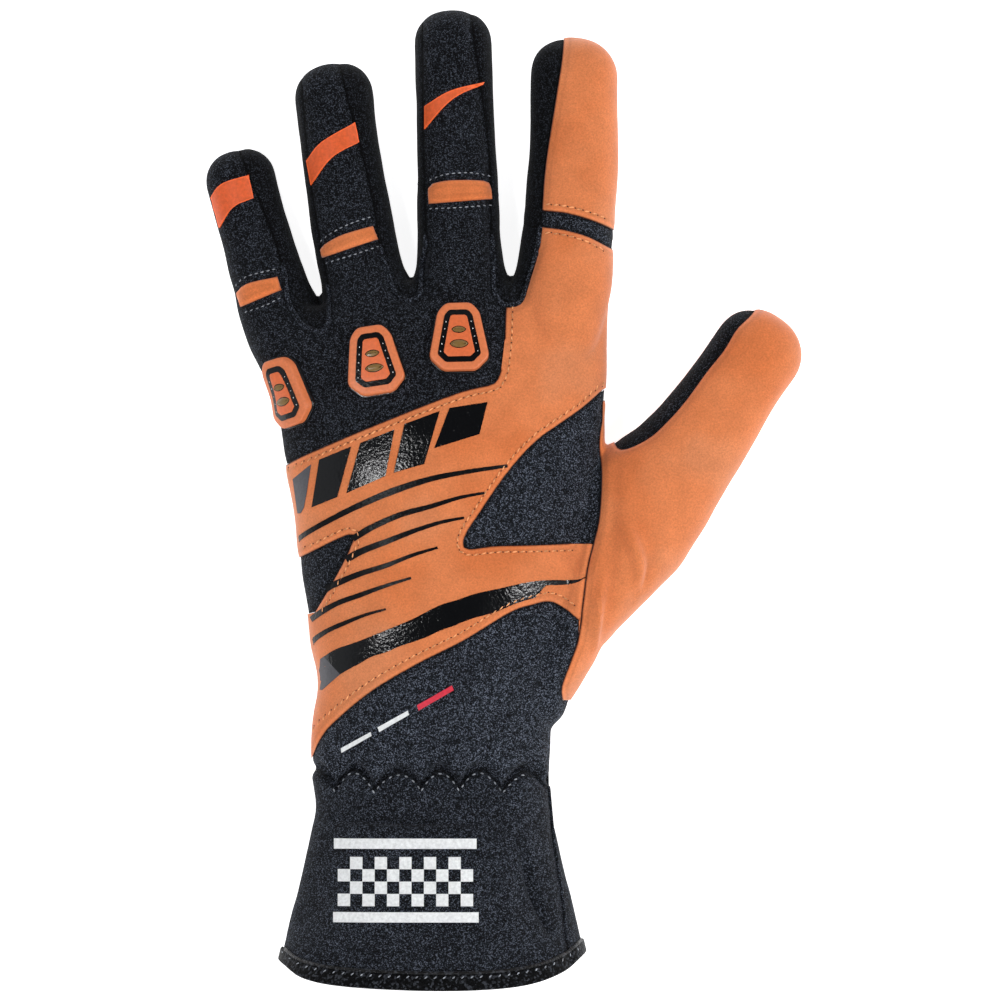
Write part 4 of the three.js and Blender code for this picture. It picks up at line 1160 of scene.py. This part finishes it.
@cache
def suede_material(kind="suede"):
    """Microfibre suede: a short nap, so its colour is mottled and soft, with no clear highlight."""
    base = getattr(bpy.context.scene.glove_colours, kind)
    material, tree, shader, at = new_material(f"microfibre_{kind}")
    nap = add_node(tree, "TexNoise", {"Vector": at, "Scale": per_mm(0.55), "Detail": 3.0, "Roughness": 0.75})
    brushed = add_node(tree, "TexNoise", {"Vector": at, "Scale": per_mm(7), "Detail": 4.0, "Roughness": 0.6})
    fibres = add_node(tree, "ValToRGB", {"Fac": nap.outputs["Fac"]}, [
        (0.28, shade(base, 0.8)), (0.5, base), (0.74, shade(base, 1.2))])
    # Handling lays the nap down in places some 26 mm apart, which turns it paler or deeper
    handled = add_node(tree, "TexNoise", {"Vector": at, "Scale": per_mm(26), "Detail": 2.0, "Roughness": 0.5})
    tinted = add_node(tree, "ValToRGB", {"Fac": handled.outputs["Fac"]}, [
        (0.34, (0.96, 0.86, 0.74, 1.0)), (0.48, (1, 1, 1, 1)), (0.55, (1, 1, 1, 1)), (0.68, (0.98, 1.1, 1.28, 1.0))])
    fibres = add_node(tree, "Mix", {6: fibres.outputs["Color"], 7: tinted.outputs["Color"], 0: 1.0}, **TIMES)
    patches = add_node(tree, "MapRange", {"Value": brushed.outputs["Fac"], 1: 0.3, 2: 0.7, 3: 0.9, 4: 1.06})
    # Dark cut edge, partly the dark lining in the slit and partly painted shade, then the pale roll over it, then
    # painted shade in the stitches' furrow 2 mm in
    seam = add_node(tree, "Attribute", {}, attribute_name="seam")
    from_edge = add_node(tree, "MapRange", {"Value": seam.outputs["Fac"], 2: 4.0})
    edge_shade_and_wear = add_node(tree, "ValToRGB", {"Fac": from_edge.outputs[0]}, [
        (0.03, (0.07, 0.04, 0.03, 1)), (0.11, (1.0, 0.96, 0.94, 1)), (0.2, (1.14, 1.14, 1.17, 1)),
        (0.34, (1, 1, 1, 1)), (0.5, (0.88, 0.88, 0.88, 1)), (0.66, (1, 1, 1, 1))])
    edged = add_node(tree, "Mix", {6: fibres.outputs[2], 7: edge_shade_and_wear.outputs["Color"], 0: 1.0}, **TIMES)
    mixed = add_node(tree, "Mix", {6: edged.outputs[2], 7: patches.outputs[0], 0: 1.0}, **TIMES)
    bump = add_node(tree, "Bump", {"Height": nap.outputs["Fac"], "Strength": 0.4, "Distance": 0.22 * MM})
    plug(tree, shader, {"Base Color": mixed.outputs[2], "Normal": bump.outputs["Normal"], "Roughness": 0.86,
                        "Specular IOR Level": 0.25, "Sheen Weight": 0.25, "Sheen Roughness": 0.45})
    return material


@cache
def rubber_material(kind="pad", roughness=0.42):
    """Moulded soft rubber: even colour, a satin skin and slight moulding marks."""
    base = getattr(bpy.context.scene.glove_colours, kind)
    material, tree, shader, at = new_material(f"moulded_rubber_{kind}")
    grain = add_node(tree, "TexNoise", {"Vector": at, "Scale": per_mm(0.8), "Detail": 2.0})
    tint = add_node(tree, "ValToRGB", {"Fac": grain.outputs["Fac"]}, [
        (0.3, shade(base, 0.9)), (0.7, shade(base, 1.08))])
    bump = add_node(tree, "Bump", {"Height": grain.outputs["Fac"], "Strength": 0.2, "Distance": 0.1 * MM})
    plug(tree, shader, {"Base Color": tint.outputs["Color"], "Normal": bump.outputs["Normal"],
                        "Roughness": roughness, "Specular IOR Level": 0.4})
    return material


@cache
def film_material(kind, roughness, grain=0.5, gloss=0.36):
    """Heat-pressed film: it takes up the nap under it, so its gloss breaks into small lights."""
    base = getattr(bpy.context.scene.glove_colours, kind)
    material, tree, shader, at = new_material(f"pressed_film_{kind}")
    nap = add_node(tree, "TexNoise", {"Vector": at, "Scale": per_mm(0.9), "Detail": 2.0, "Roughness": 0.6})
    tint = add_node(tree, "ValToRGB", {"Fac": nap.outputs["Fac"]}, [(0.3, shade(base, 0.85)), (0.7, shade(base, 1.12))])
    colour_out = tint.outputs["Color"]
    bump = add_node(tree, "Bump", {"Height": nap.outputs["Fac"], "Strength": grain, "Distance": 0.25 * MM})
    if kind == "bar":
        # Painted highlight: the bars' rims are drawn paler, as a raised edge that catches the light
        seam = add_node(tree, "Attribute", {}, attribute_name="seam")
        rim = add_node(tree, "MapRange", {"Value": seam.outputs["Fac"], 1: 0.35, 2: 0.75, 3: 1.5, 4: 1.0})
        colour_out = add_node(tree, "Mix", {6: colour_out, 7: rim.outputs[0], 0: 1.0}, **TIMES).outputs[2]
    plug(tree, shader, {"Base Color": colour_out, "Normal": bump.outputs["Normal"], "Roughness": roughness,
                        "Specular IOR Level": gloss})
    return material


@cache
def satin_material(kind, roughness, gloss):
    """Woven satin: tight floats across it that glint in grains, from its bump and gloss and from painted glints in its
    colour.
    """
    base = bpy.context.scene.glove_colours.binding
    material, tree, shader, at = new_material("satin_" + kind)
    # Real floats are about 0.3 mm long, too fine to show, so they are drawn twice as long
    floats = add_node(tree, "TexVoronoi", {"Vector": at, "Scale": per_mm(0.6), "Randomness": 1.0})
    sheen = add_node(tree, "TexNoise", {"Vector": at, "Scale": per_mm(1.6), "Detail": 3.0, "Roughness": 0.7})
    # Painted glints: the palest floats are drawn ten times lighter than the tape
    tint = add_node(tree, "ValToRGB", {"Fac": floats.outputs["Color"]}, [
        (0.3, shade(base, 0.3)), (0.62, shade(base, 0.8)), (0.82, shade(base, 10))])
    height = add_node(tree, "Math", {0: sheen.outputs["Fac"], 1: floats.outputs["Distance"]}, operation="SUBTRACT")
    bump = add_node(tree, "Bump", {"Height": height.outputs[0], "Strength": 0.8, "Distance": 0.3 * MM})
    plug(tree, shader, {"Base Color": tint.outputs["Color"], "Normal": bump.outputs["Normal"],
                        "Roughness": roughness, "Specular IOR Level": gloss})
    return material


@cache
def thread_material(kind):
    """Twisted polyester thread: a slight gloss and a shade that changes along it."""
    base = getattr(bpy.context.scene.glove_colours, kind)
    material, tree, shader, at = new_material(f"polyester_{kind}")
    # The real twist of about 0.5 mm is too fine to show, so it is drawn coarser
    twist = add_node(tree, "TexNoise", {"Vector": at, "Scale": per_mm(1.2), "Detail": 2.0})
    tint = add_node(tree, "ValToRGB", {"Fac": twist.outputs["Fac"]}, [
        (0.35, shade(base, 0.55)), (0.6, shade(base, 1.1))])
    plug(tree, shader, {"Base Color": tint.outputs["Color"], "Roughness": 0.6, "Specular IOR Level": 0.35})
    return material


# Operators


class GLOVE_OT_lining(bpy.types.Operator):
    """Makes the thin dark lining behind the panels, which shows only in the seams and inside the cuff"""

    bl_idname = "glove.lining"
    bl_label = "Lining"

    def execute(self, context):
        behind = -size("ply") - 0.3
        wall = shell(behind, behind - size("lining"), 2 * size("voxel"))
        finish_piece("lining", cut(wall, below_hem(1.5), "DIFFERENCE"), knit_material(0.5))
        return {"FINISHED"}


class GLOVE_OT_knit_panels(bpy.types.Operator):
    """Makes the knit panels of the fingers, knuckles, insets, wrist and cuff"""

    bl_idname = "glove.knit_panels"
    bl_label = "Knit panels"

    def execute(self, context):
        panels = cut_panels()
        for name, tone in KNIT_TONES.items():
            finish_piece("cloth_" + name, mark_seams(panels[name]), knit_material(tone), [name])
        return {"FINISHED"}


class GLOVE_OT_suede_panels(bpy.types.Operator):
    """Makes the orange suede of the hand, index fingertip and thumb, and the dark suede palm"""

    bl_idname = "glove.suede_panels"
    bl_label = "Suede panels"

    def execute(self, context):
        panels = cut_panels()
        for name in ("hand_suede", "index_tip", "thumb_suede"):
            finish_piece("cloth_" + name, mark_seams(panels[name], 0.4), suede_material(), [name])
        finish_piece("cloth_palm", mark_seams(panels["palm"]), suede_material("palm"), ["palm"])
        return {"FINISHED"}


class GLOVE_OT_hem(bpy.types.Operator):
    """Makes the binding that is folded over the cuff's hem"""

    bl_idname = "glove.hem"
    bl_label = "Hem binding"

    def execute(self, context):
        band = cut(below_hem(BINDING_WIDTH), below_hem(wider=5), "DIFFERENCE")
        wall = cut(shell(BINDING_OUT, BINDING_IN, size("voxel")), band)
        mesh = applied(wall, ("REMESH", dict(mode="VOXEL", voxel_size=0.5)),
                       ("SMOOTH", dict(factor=0.5, iterations=5)))
        finish_piece("binding_hem", mesh, satin_material("tape", 0.5, 0.05), ["hem_binding"])
        piping = cord_on_cloth(across(hem_line(BINDING_WIDTH + 0.1), PIPING_REACH), size("piping"), 0.4)
        finish_piece("piping_hem", piping, satin_material("cord", 0.35, 0.2))
        row = stitch_row(hem_line(BINDING_WIDTH - 1.2), 2.6, 1.1, 0.85, turn=40)
        finish_piece("stitches_hem", row, thread_material("grey_thread"))
        return {"FINISHED"}


class GLOVE_OT_flex_strips(bpy.types.Operator):
    """Makes the rounded strips over the finger joints"""

    bl_idname = "glove.flex_strips"
    bl_label = "Flex strips"

    def execute(self, context):
        for name, outline in FLEX_STRIPS.items():
            mesh = draped(outline, size("strip_ply"), rounding=1.1, grid=1.0)
            finish_piece("raised_" + name, mesh, suede_material("strip"), [name], 60)
        return {"FINISHED"}


class GLOVE_OT_finger_bars(bpy.types.Operator):
    """Makes the bright pressed bars near the fingertips"""

    bl_idname = "glove.finger_bars"
    bl_label = "Finger bars"

    def execute(self, context):
        for name, outline in FINGER_BARS.items():
            finish_piece(name, draped(outline, BAR_PLY, grid=1.0), film_material("bar", 0.55, 0.2))
        return {"FINISHED"}


def leftward(line):
    """The way to the left of a line in plan at each of its points."""
    ways = np.gradient(line, axis=0)
    ways /= np.linalg.norm(ways, axis=1)[:, None]
    return np.column_stack([-ways[:, 1], ways[:, 0]])


def offset_line(line, by):
    """A line in plan moved to its left, or to its right where the distance is negative."""
    moved = line + leftward(line) * by
    return moved[from_line(moved, line)[0] > abs(by) * 0.97]


def spaced(line, pitch):
    """Places along a line at a pitch, and the way along it at each."""
    at = np.concatenate([[0], np.cumsum(np.hypot(*np.diff(line, axis=0).T))])
    along = np.arange(pitch / 2, at[-1], pitch)
    spot, ahead = (np.column_stack([np.interp(along + by, at, line[:, axis]) for axis in (0, 1)]) for by in (0, 0.3))
    behind = np.column_stack([np.interp(along - 0.3, at, line[:, axis]) for axis in (0, 1)])
    return zip(spot, ahead - behind)


def stitch_row(line, pitch, length, lift, turn=0.0, shift=0.0, thick=1.0):
    """A row of thread stitches along a line in plan, each a small capsule that lies on the cloth."""
    bm = bmesh.new()
    thread = size("thread") * thick
    for (x, y), way in spaced(line, pitch):
        point, normal = under(x, y)
        if point is None or normal.z < STEEPEST_STITCH:
            continue
        forward = Matrix.Rotation(math.radians(turn), 3, normal) @ Vector((*way, 0))
        forward = (forward - normal * forward.dot(normal)).normalized()
        axes = Matrix((forward, normal.cross(forward), normal)).transposed().to_4x4()
        place = point + normal * lift + forward * shift
        scale = Matrix.Diagonal((length / 2, thread / 2, thread * 0.4, 1))
        along = Matrix.Translation(place) @ axes @ scale @ Matrix.Rotation(math.pi / 2, 4, "Y")
        bmesh.ops.create_uvsphere(bm, u_segments=6, v_segments=5, radius=1, matrix=along)
    return made_mesh(bm)


def cord_ring(place, forward, normal, radius):
    """A cord's section, as a function from turns to points."""
    up = (normal - forward * normal.dot(forward)).normalized()
    across, up, place = np.array(forward.cross(up)), np.array(up), np.array(place)
    return lambda turns: place + radius * (np.cos(turns)[:, None] * across + np.sin(turns)[:, None] * up)


def cord_on_cloth(line, thickness, lift, sides=8):
    """A cord with narrow ends that lies on the cloth along a line in plan."""
    spots = []
    for x, y in line:
        spot = cloth_spot(x, y)
        if not spots or (spot[0] - spots[-1][0]).length > 0.4:
            spots.append(spot)
    path = [point + normal * lift for point, normal in spots]
    rings, last = [], len(path) - 1
    for step, place in enumerate(path):
        forward = (path[min(step + 1, last)] - path[max(step - 1, 0)]).normalized()
        radius = thickness / 2 * (0.25 if step in (0, last) else 1.0)
        rings.append(cord_ring(place, forward, spots[step][1], radius))
    bm = bmesh.new()
    add_skin(bm, rings, sides)
    bmesh.ops.recalc_face_normals(bm, faces=bm.faces)
    mesh = made_mesh(bm)
    return keep_seam(mesh, np.ones(len(mesh.vertices)))


# The widest pad in millimetres: half its width at its foot and at its top, and half its length
PAD_FOOT, PAD_TOP, PAD_HALF_LENGTH = 8.6, 6.0, 9.9
# Vents: length and width, place along the pad, and how far the resin in them swells
VENTS = ((3.7, 1.65, 1.7, 0.1), (4.9, 2.1, -2.5, 0.3))
SPECK_PLACES = (-4.6, -2.4, -0.3, 2.0, 4.1)


def pad_outline(narrow, inset, radius):
    """A pad's outline with chamfered corners, drawn in on every side and rounded."""
    foot, top, half = PAD_FOOT * narrow, PAD_TOP * narrow, PAD_HALF_LENGTH
    right = [(foot - 3.8, -half), (foot, -half + 3.8), (top, half - 2.7), (top - 2.3, half)]
    outline = [*right, *[(-x, y) for x, y in reversed(right)]]
    return rounded_outline(grown(outline, -inset), radius)


def rounded_outline(outline, radius, segments=4):
    """An outline with its corners rounded by a bevel."""
    bm = bmesh.new()
    face = bm.faces.new([bm.verts.new((x, y, 0)) for x, y in outline])
    bmesh.ops.bevel(bm, geom=list(bm.verts), offset=radius, segments=segments, profile=0.5, affect="VERTICES",
                    material=-1)
    bm.faces.ensure_lookup_table()
    face = max(bm.faces, key=lambda item: item.calc_area())
    points = [tuple(loop.vert.co[:2]) for loop in face.loops]
    bm.free()
    return points


def pad_layer(bm, outline, low, high, round_over=0.0):
    """Adds a closed block on an outline between two heights of a pad, rounded over at its top."""
    face = bm.faces.new([bm.verts.new((x, y, low)) for x, y in outline])
    made = bmesh.ops.extrude_face_region(bm, geom=[face])["geom"]
    lid = next(item for item in made if isinstance(item, bmesh.types.BMFace))
    bmesh.ops.translate(bm, vec=(0, 0, high - low - round_over), verts=lid.verts)
    turns = np.linspace(0, math.pi / 2, 5) if round_over else []
    for turn, onward in zip(turns[:-1], turns[1:]):
        bmesh.ops.inset_region(bm, faces=[lid], thickness=round_over * (math.cos(turn) - math.cos(onward)),
                               depth=round_over * (math.sin(onward) - math.sin(turn)), use_even_offset=True)
    return lid


def gridded(bm, grid):
    """Cuts faces along a square grid, so that they bend with the cloth."""
    for axis in (0, 1):
        values = [vert.co[axis] for vert in bm.verts]
        for at in np.arange(min(values) + grid * 0.6, max(values), grid):
            place, way = Vector((0, 0, 0)), Vector((0, 0, 0))
            place[axis], way[axis] = at, 1
            bmesh.ops.bisect_plane(bm, geom=[*bm.verts, *bm.edges, *bm.faces], plane_co=place, plane_no=way)


def pad_parts(narrow, height):
    """The parts of a pad that lies flat, as bmeshes: rubber, raised plate, gloss groove with a black foot round the pad
    that is painted shadow, resin vents and specks.
    """
    foot, rim, groove, plate = (pad_outline(narrow, inset, radius)
                                for inset, radius in ((-0.5, 1.3), (0.0, 1.2), (2.2, 0.6), (3.8, 0.28)))
    parts = {name: bmesh.new() for name in ("rubber", "plate", "groove", "vents", "specks")}
    pad_layer(parts["rubber"], rim, -2.5, height, 0.6)
    # Painted shadow: a black gloss foot a little wider than the pad, standing for the shade round its edge
    pad_layer(parts["groove"], foot, -2.5, 0.5, 0.3)
    pad_layer(parts["groove"], groove, height - 0.5, height + 0.12)
    pad_layer(parts["plate"], plate, height - 0.8, height + 0.4, 0.2)
    for side in (-1, 1):
        for along in SPECK_PLACES:
            out = side * (6.0 * narrow - 3.0 + 2.6 * narrow * (7.2 - along) / 13.3)
            spot = Matrix.Translation((out, along, height + 0.13)) @ Matrix.Diagonal((0.13, 0.2, 0.05, 1))
            bmesh.ops.create_uvsphere(parts["specks"], u_segments=6, v_segments=4, radius=1, matrix=spot)
    for length, width, along, swell in VENTS:
        for name, grow, rise in (("groove", 0.22, 0.47), ("vents", 0.0, 0.52)):
            ring = [((length / 2 + grow) * math.cos(turn),
                     along + (width / 2 + grow) * math.sin(turn) * abs(math.sin(turn)) ** 0.25)
                    for turn in np.linspace(0, 2 * math.pi, 24, endpoint=False)]
            lid = pad_layer(parts[name], ring, height - 0.2, height + rise)
            for share in (0.6, 0.4) if name == "vents" else ():
                bmesh.ops.inset_region(parts[name], faces=[lid], thickness=0.3, depth=swell * share)
    return parts


def bend_to_cloth(bm, place):
    """Bends a flat pad's part to most of the cloth's curve under it, at the pad's placing."""
    up = place.to_3x3() @ Vector((0, 0, 1))
    for vert in bm.verts:
        flat = place @ Vector((vert.co.x, vert.co.y, 0))
        spot, _, _, _ = cloth_tree().ray_cast(flat + up * 20, -up)
        drop = (spot - flat).dot(up) if spot else -1.0
        vert.co = flat + up * (vert.co.z + 0.8 * max(-2.5, drop))
    bmesh.ops.recalc_face_normals(bm, faces=bm.faces)


class GLOVE_OT_knuckle_pads(bpy.types.Operator):
    """Makes the moulded pads with their gloss grooves and vents"""

    bl_idname = "glove.knuckle_pads"
    bl_label = "Knuckle pads"

    def execute(self, context):
        # The groove pieces also hold each pad's black foot, which is painted shadow
        finishes = {"rubber": rubber_material(), "plate": rubber_material("plate"),
                    "groove": film_material("gloss", 0.18, 0.25), "vents": rubber_material("vent", 0.25),
                    "specks": film_material("white", 0.4, 0.2)}
        for pad in PADS:
            place = frame_on_cloth(*shares((pad["across"], pad["along"])), pad["lean"])
            for part, bm in pad_parts(pad["narrow"], size("pad_height")).items():
                if part != "specks":
                    gridded(bm, 2.0)
                bend_to_cloth(bm, place)
                finish_piece(f"{pad['name']}_{part}", made_mesh(bm), finishes[part],
                             [pad["name"]] if part == "rubber" else [])
        return {"FINISHED"}


def frame_on_cloth(x, y, lean):
    """The placing of a pad whose Z points out of the cloth and whose Y leans from +Y by degrees."""
    point, _ = cloth_spot(x, y)
    around = [cloth_spot(x + dx, y + dy)[1] for dx in (-5, 0, 5) for dy in (-6, 0, 6)]
    up = sum(around, Vector()).normalized()
    forward = Vector((-math.sin(math.radians(lean)), math.cos(math.radians(lean)), 0))
    forward = (forward - up * forward.dot(up)).normalized()
    return Matrix.Translation(point) @ Matrix((forward.cross(up), forward, up)).transposed().to_4x4()


def stripe_outline(stripe):
    """A tapering stripe's outline round its middle line."""
    line = smoothed(stripe["line"], 2.0)
    side = leftward(line)
    half = np.interp(np.linspace(0, 1, len(line)), (0, 0.5, 1), stripe["widths"])[:, None] / 2
    return np.vstack([line + side * half, (line - side * half)[::-1]])


class GLOVE_OT_back_prints(bpy.types.Operator):
    """Makes the gloss stripes, the tapering band and the slanted blocks on the suede"""

    bl_idname = "glove.back_prints"
    bl_label = "Back prints"

    def execute(self, context):
        lift, ply = size("suede_lift"), size("print_ply")
        black, dull = film_material("gloss", 0.14, 0.55), film_material("gloss", 0.3, 0.7, 0.14)
        prints = {"stripes": ([stripe_outline(stripe) for stripe in STRIPES], dull),
                  "taper_band": ([TAPER_BAND], black), "slanted_blocks": (SLANTED_BLOCKS, black),
                  "grey_blocks": (GREY_BLOCKS, film_material("grey", 0.6, 0.2))}
        for name, (shapes, material) in prints.items():
            mesh = joined([draped(shape, ply, lift, sunk=0.2) for shape in shapes])
            finish_piece("print_" + name, mesh, material)
        return {"FINISHED"}


class GLOVE_OT_cuff_prints(bpy.types.Operator):
    """Makes the plain dashes on the wrist and the chequered patch on the cuff"""

    bl_idname = "glove.cuff_prints"
    bl_label = "Wrist dashes and cuff patch"

    def execute(self, context):
        patch = CUFF_PATCH
        wide = (patch["right"] - patch["left"]) / patch["columns"]
        tall = (patch["top"] - patch["foot"]) / patch["rows"]
        squares = list(CUFF_BARS)
        for column in range(patch["columns"]):
            for row in range(patch["rows"]):
                if (column + row) % 2 == 0:
                    x, y = patch["left"] + column * wide, patch["foot"] + row * tall
                    squares.append([(x, y), (x + wide, y), (x + wide, y + tall), (x, y + tall)])
        prints = {"white_dashes": (WHITE_DASHES, "white"), "red_dash": ([RED_DASH], "red"),
                  "cuff_patch": (squares, "white")}
        for name, (shapes, kind) in prints.items():
            mesh = joined([draped(shape, size("print_ply"), sunk=0.2) for shape in shapes])
            finish_piece("print_" + name, mesh, film_material(kind, 0.5, 0.15))
        return {"FINISHED"}


class GLOVE_OT_suede_stitches(bpy.types.Operator):
    """Makes the rows of top stitches along the suede's edges, with their needle holes"""

    bl_idname = "glove.suede_stitches"
    bl_label = "Suede stitches"

    def execute(self, context):
        inset, pitch, lift = size("stitch_inset"), size("stitch_pitch"), size("suede_lift")
        upper = np.vstack([seam_line(SUEDE_UPPER_EDGE), seam_line(SUEDE_SIDE_EDGE)])
        lines = [
            (upper, -inset),
            (seam_line(SUEDE_LOWER_EDGE), inset * 1.3),
            (seam_line(WEB_INSET[:-1]), -inset),
            (seam_line(SIDE_INSET[:-1]), inset),
            (seam_line(INDEX_BAND_TOP[:-1]), inset),
            (seam_line(INDEX_BAND_FOOT[:-1]), -inset * 0.9),
        ]
        lines = [offset_line(line, by) for line, by in lines]
        thumb, index = seam_line(THUMB_SEAM), finger_seam(INDEX, "left")
        # Only what lies on the suede, between the index finger's seam and the thumb's
        kept = []
        for line in lines:
            right, left = (np.interp(line[:, 1], seam[::-1, 1], seam[::-1, 0]) for seam in (thumb, index))
            beside_index = (line[:, 1] < HAND_LENGTH) | (line[:, 0] > left + 0.8)
            kept.append(line[(line[:, 0] < right - 0.8) & beside_index])
        threads = [stitch_row(line, pitch, pitch * 0.68, lift + 0.06, turn=14) for line in kept]
        # Painted shade: a dark mark between stitches stands for the shadow in each needle hole
        holes = [stitch_row(line, pitch, size("thread") * 1.1, lift, shift=pitch / 2) for line in kept]
        finish_piece("stitches_suede", joined(threads), thread_material("thread"))
        finish_piece("stitch_holes_suede", joined(holes), thread_material("hole"))
        return {"FINISHED"}


class GLOVE_OT_knit_stitches(bpy.types.Operator):
    """Makes the grey stitches of the gather and of the bands over the finger joints, and the seam rolls at the webs"""

    bl_idname = "glove.knit_stitches"
    bl_label = "Knit stitches and web seams"

    def execute(self, context):
        row = stitch_row(across(gather_line(-0.9), GATHER_STITCH_REACH), 2.3, 1.05, 0.16, thick=1.1)
        finish_piece("stitches_gather", row, thread_material("grey_thread"))
        rows = [stitch_row(smoothed(row), 1.7, 1.0, 0.08, thick=0.75) for row in BAND_STITCHES]
        finish_piece("stitches_finger_bands", joined(rows), thread_material("grey_thread"))
        rolls = [cord_on_cloth(smoothed(np.vstack([down[-6:], web, up[:6]])[::3]), 1.5, 0.35)
                 for down, web, up in web_seams().values()]
        side = seam_line(CUFF_SIDE_SEAM)
        rolls.append(cord_on_cloth(side[side[:, 1] > -CUFF_LENGTH + 12], 1.0, 0.2))
        finish_piece("seam_rolls", joined(rolls), knit_material(1.0))
        # Tapes behind the seams, so that no slit between two panels shows through
        lines = [*[seam_line(seam) for seam in PANEL_SEAMS[:-1]], across(gather_line(), GATHER_TAPE_REACH)]
        tapes = [cord_on_cloth(line, 1.1, -0.42, sides=6) for line in lines]
        finish_piece("seam_tapes", joined(tapes), knit_material(0.5))
        return {"FINISHED"}


# Softboxes: place, width in metres and power in watts
SOFTBOXES = {"softbox_right": ((0.92, 0.03, 1.0), 0.34, 8), "softbox_left": ((-0.52, 0.05, 1.25), 0.26, 5.2),
             "softbox_front": ((0.2, -1.1, 1.1), 0.7, 4)}
# The camera's place, and the width of one of the picture's 1000 pixels at the glove, in metres
CAMERA_PLACE, PIXEL = (-0.00095, -0.00024, 8.018), 0.000285714
LENS_DISTANCE, SENSOR, PICTURE = 8.0, 36.0, 1000


class GLOVE_OT_stage(bpy.types.Operator):
    """Makes the pale floor, the soft studio lights and the camera over the glove"""

    bl_idname = "glove.stage"
    bl_label = "Stage"

    def execute(self, context):
        bm = bmesh.new()
        bmesh.ops.create_grid(bm, x_segments=2, y_segments=2, size=3)
        floor = linked_object("floor", made_mesh(bm))
        material, tree, shader, at = new_material("painted_floor")
        haze = add_node(tree, "TexNoise", {"Vector": at, "Scale": per_mm(40), "Detail": 2.0})
        white = context.scene.glove_colours.floor
        tint = add_node(tree, "ValToRGB", {"Fac": haze.outputs["Fac"]}, [(0.3, shade(white, 0.99)), (0.7, white)])
        # The table is lit from under its top, as for a picture with a white ground
        plug(tree, shader, {"Base Color": tint.outputs["Color"], "Emission Color": tint.outputs["Color"],
                            "Emission Strength": 0.95, "Roughness": 0.9, "Specular IOR Level": 0.1})
        floor.data.materials.append(material)

        # Pale walls under a darker ceiling, which gloss that faces up mirrors
        world = bpy.data.worlds.new("studio")
        world.use_nodes = True
        nodes = world.node_tree
        way = add_node(nodes, "SeparateXYZ", {0: add_node(nodes, "TexCoord", {}).outputs["Generated"]})
        walls = add_node(nodes, "ValToRGB", {"Fac": way.outputs["Z"]}, [
            (0.0, (0.97, 0.98, 1.0, 1.0)), (0.62, (0.93, 0.95, 1.0, 1.0)), (0.86, (0.12, 0.12, 0.13, 1.0))])
        plug(nodes, nodes.nodes["Background"], {"Color": walls.outputs["Color"], "Strength": 0.62})
        context.scene.world = world
        for name, (place, width, power) in SOFTBOXES.items():
            data = bpy.data.lights.new(name, "AREA")
            data.shape, data.size, data.energy = "DISK", width, power
            light = linked_object(name, data)
            light.visible_camera = False
            light.location = place
            light.rotation_euler = (Vector((0, 0, 0.02)) - Vector(place)).to_track_quat("-Z", "Y").to_euler()

        # A very long lens straight above
        data = bpy.data.cameras.new("camera")
        data.sensor_width, data.lens = SENSOR, SENSOR * LENS_DISTANCE / (PICTURE * PIXEL)
        data.clip_start, data.clip_end = 0.05, 20
        camera = linked_object("camera", data)
        camera.location = CAMERA_PLACE
        context.scene.camera = camera
        context.scene.view_settings.view_transform = "Standard"
        return {"FINISHED"}


OPERATORS = [GLOVE_OT_stage, GLOVE_OT_lining, GLOVE_OT_knit_panels, GLOVE_OT_suede_panels, GLOVE_OT_hem,
             GLOVE_OT_flex_strips, GLOVE_OT_finger_bars, GLOVE_OT_knuckle_pads, GLOVE_OT_back_prints,
             GLOVE_OT_cuff_prints, GLOVE_OT_suede_stitches, GLOVE_OT_knit_stitches]


class GLOVE_PT_pieces(bpy.types.Panel):
    """Lists the glove's pieces, sizes and colours"""

    bl_idname = "GLOVE_PT_pieces"
    bl_label = "Karting Glove"
    bl_space_type = "VIEW_3D"
    bl_region_type = "UI"
    bl_category = "Glove"

    def draw(self, context):
        for operator in OPERATORS:
            self.layout.operator(operator.bl_idname)
        for group in (context.scene.glove_sizes, context.scene.glove_colours):
            column = self.layout.column(align=True)
            for name in group.bl_rna.properties.keys():
                if name not in ("rna_type", "name"):
                    column.prop(group, name)


def register():
    for item in (GloveSizes, GloveColours, *OPERATORS, GLOVE_PT_pieces):
        bpy.utils.register_class(item)
    bpy.types.Scene.glove_sizes = PointerProperty(type=GloveSizes)
    bpy.types.Scene.glove_colours = PointerProperty(type=GloveColours)


def unregister():
    del bpy.types.Scene.glove_colours
    del bpy.types.Scene.glove_sizes
    for item in reversed((GloveSizes, GloveColours, *OPERATORS, GLOVE_PT_pieces)):
        bpy.utils.unregister_class(item)


def clear_work():
    """Removes the meshes that only helped to make the pieces."""
    for mesh in [mesh for mesh in bpy.data.meshes if mesh.users == 0]:
        bpy.data.meshes.remove(mesh)


def main():
    register()
    for operator in OPERATORS:
        group, name = operator.bl_idname.split(".")
        if getattr(getattr(bpy.ops, group), name)() != {"FINISHED"}:
            raise RuntimeError(operator.bl_label + " wasn't made")
    clear_work()


if __name__ == "__main__":
    main()
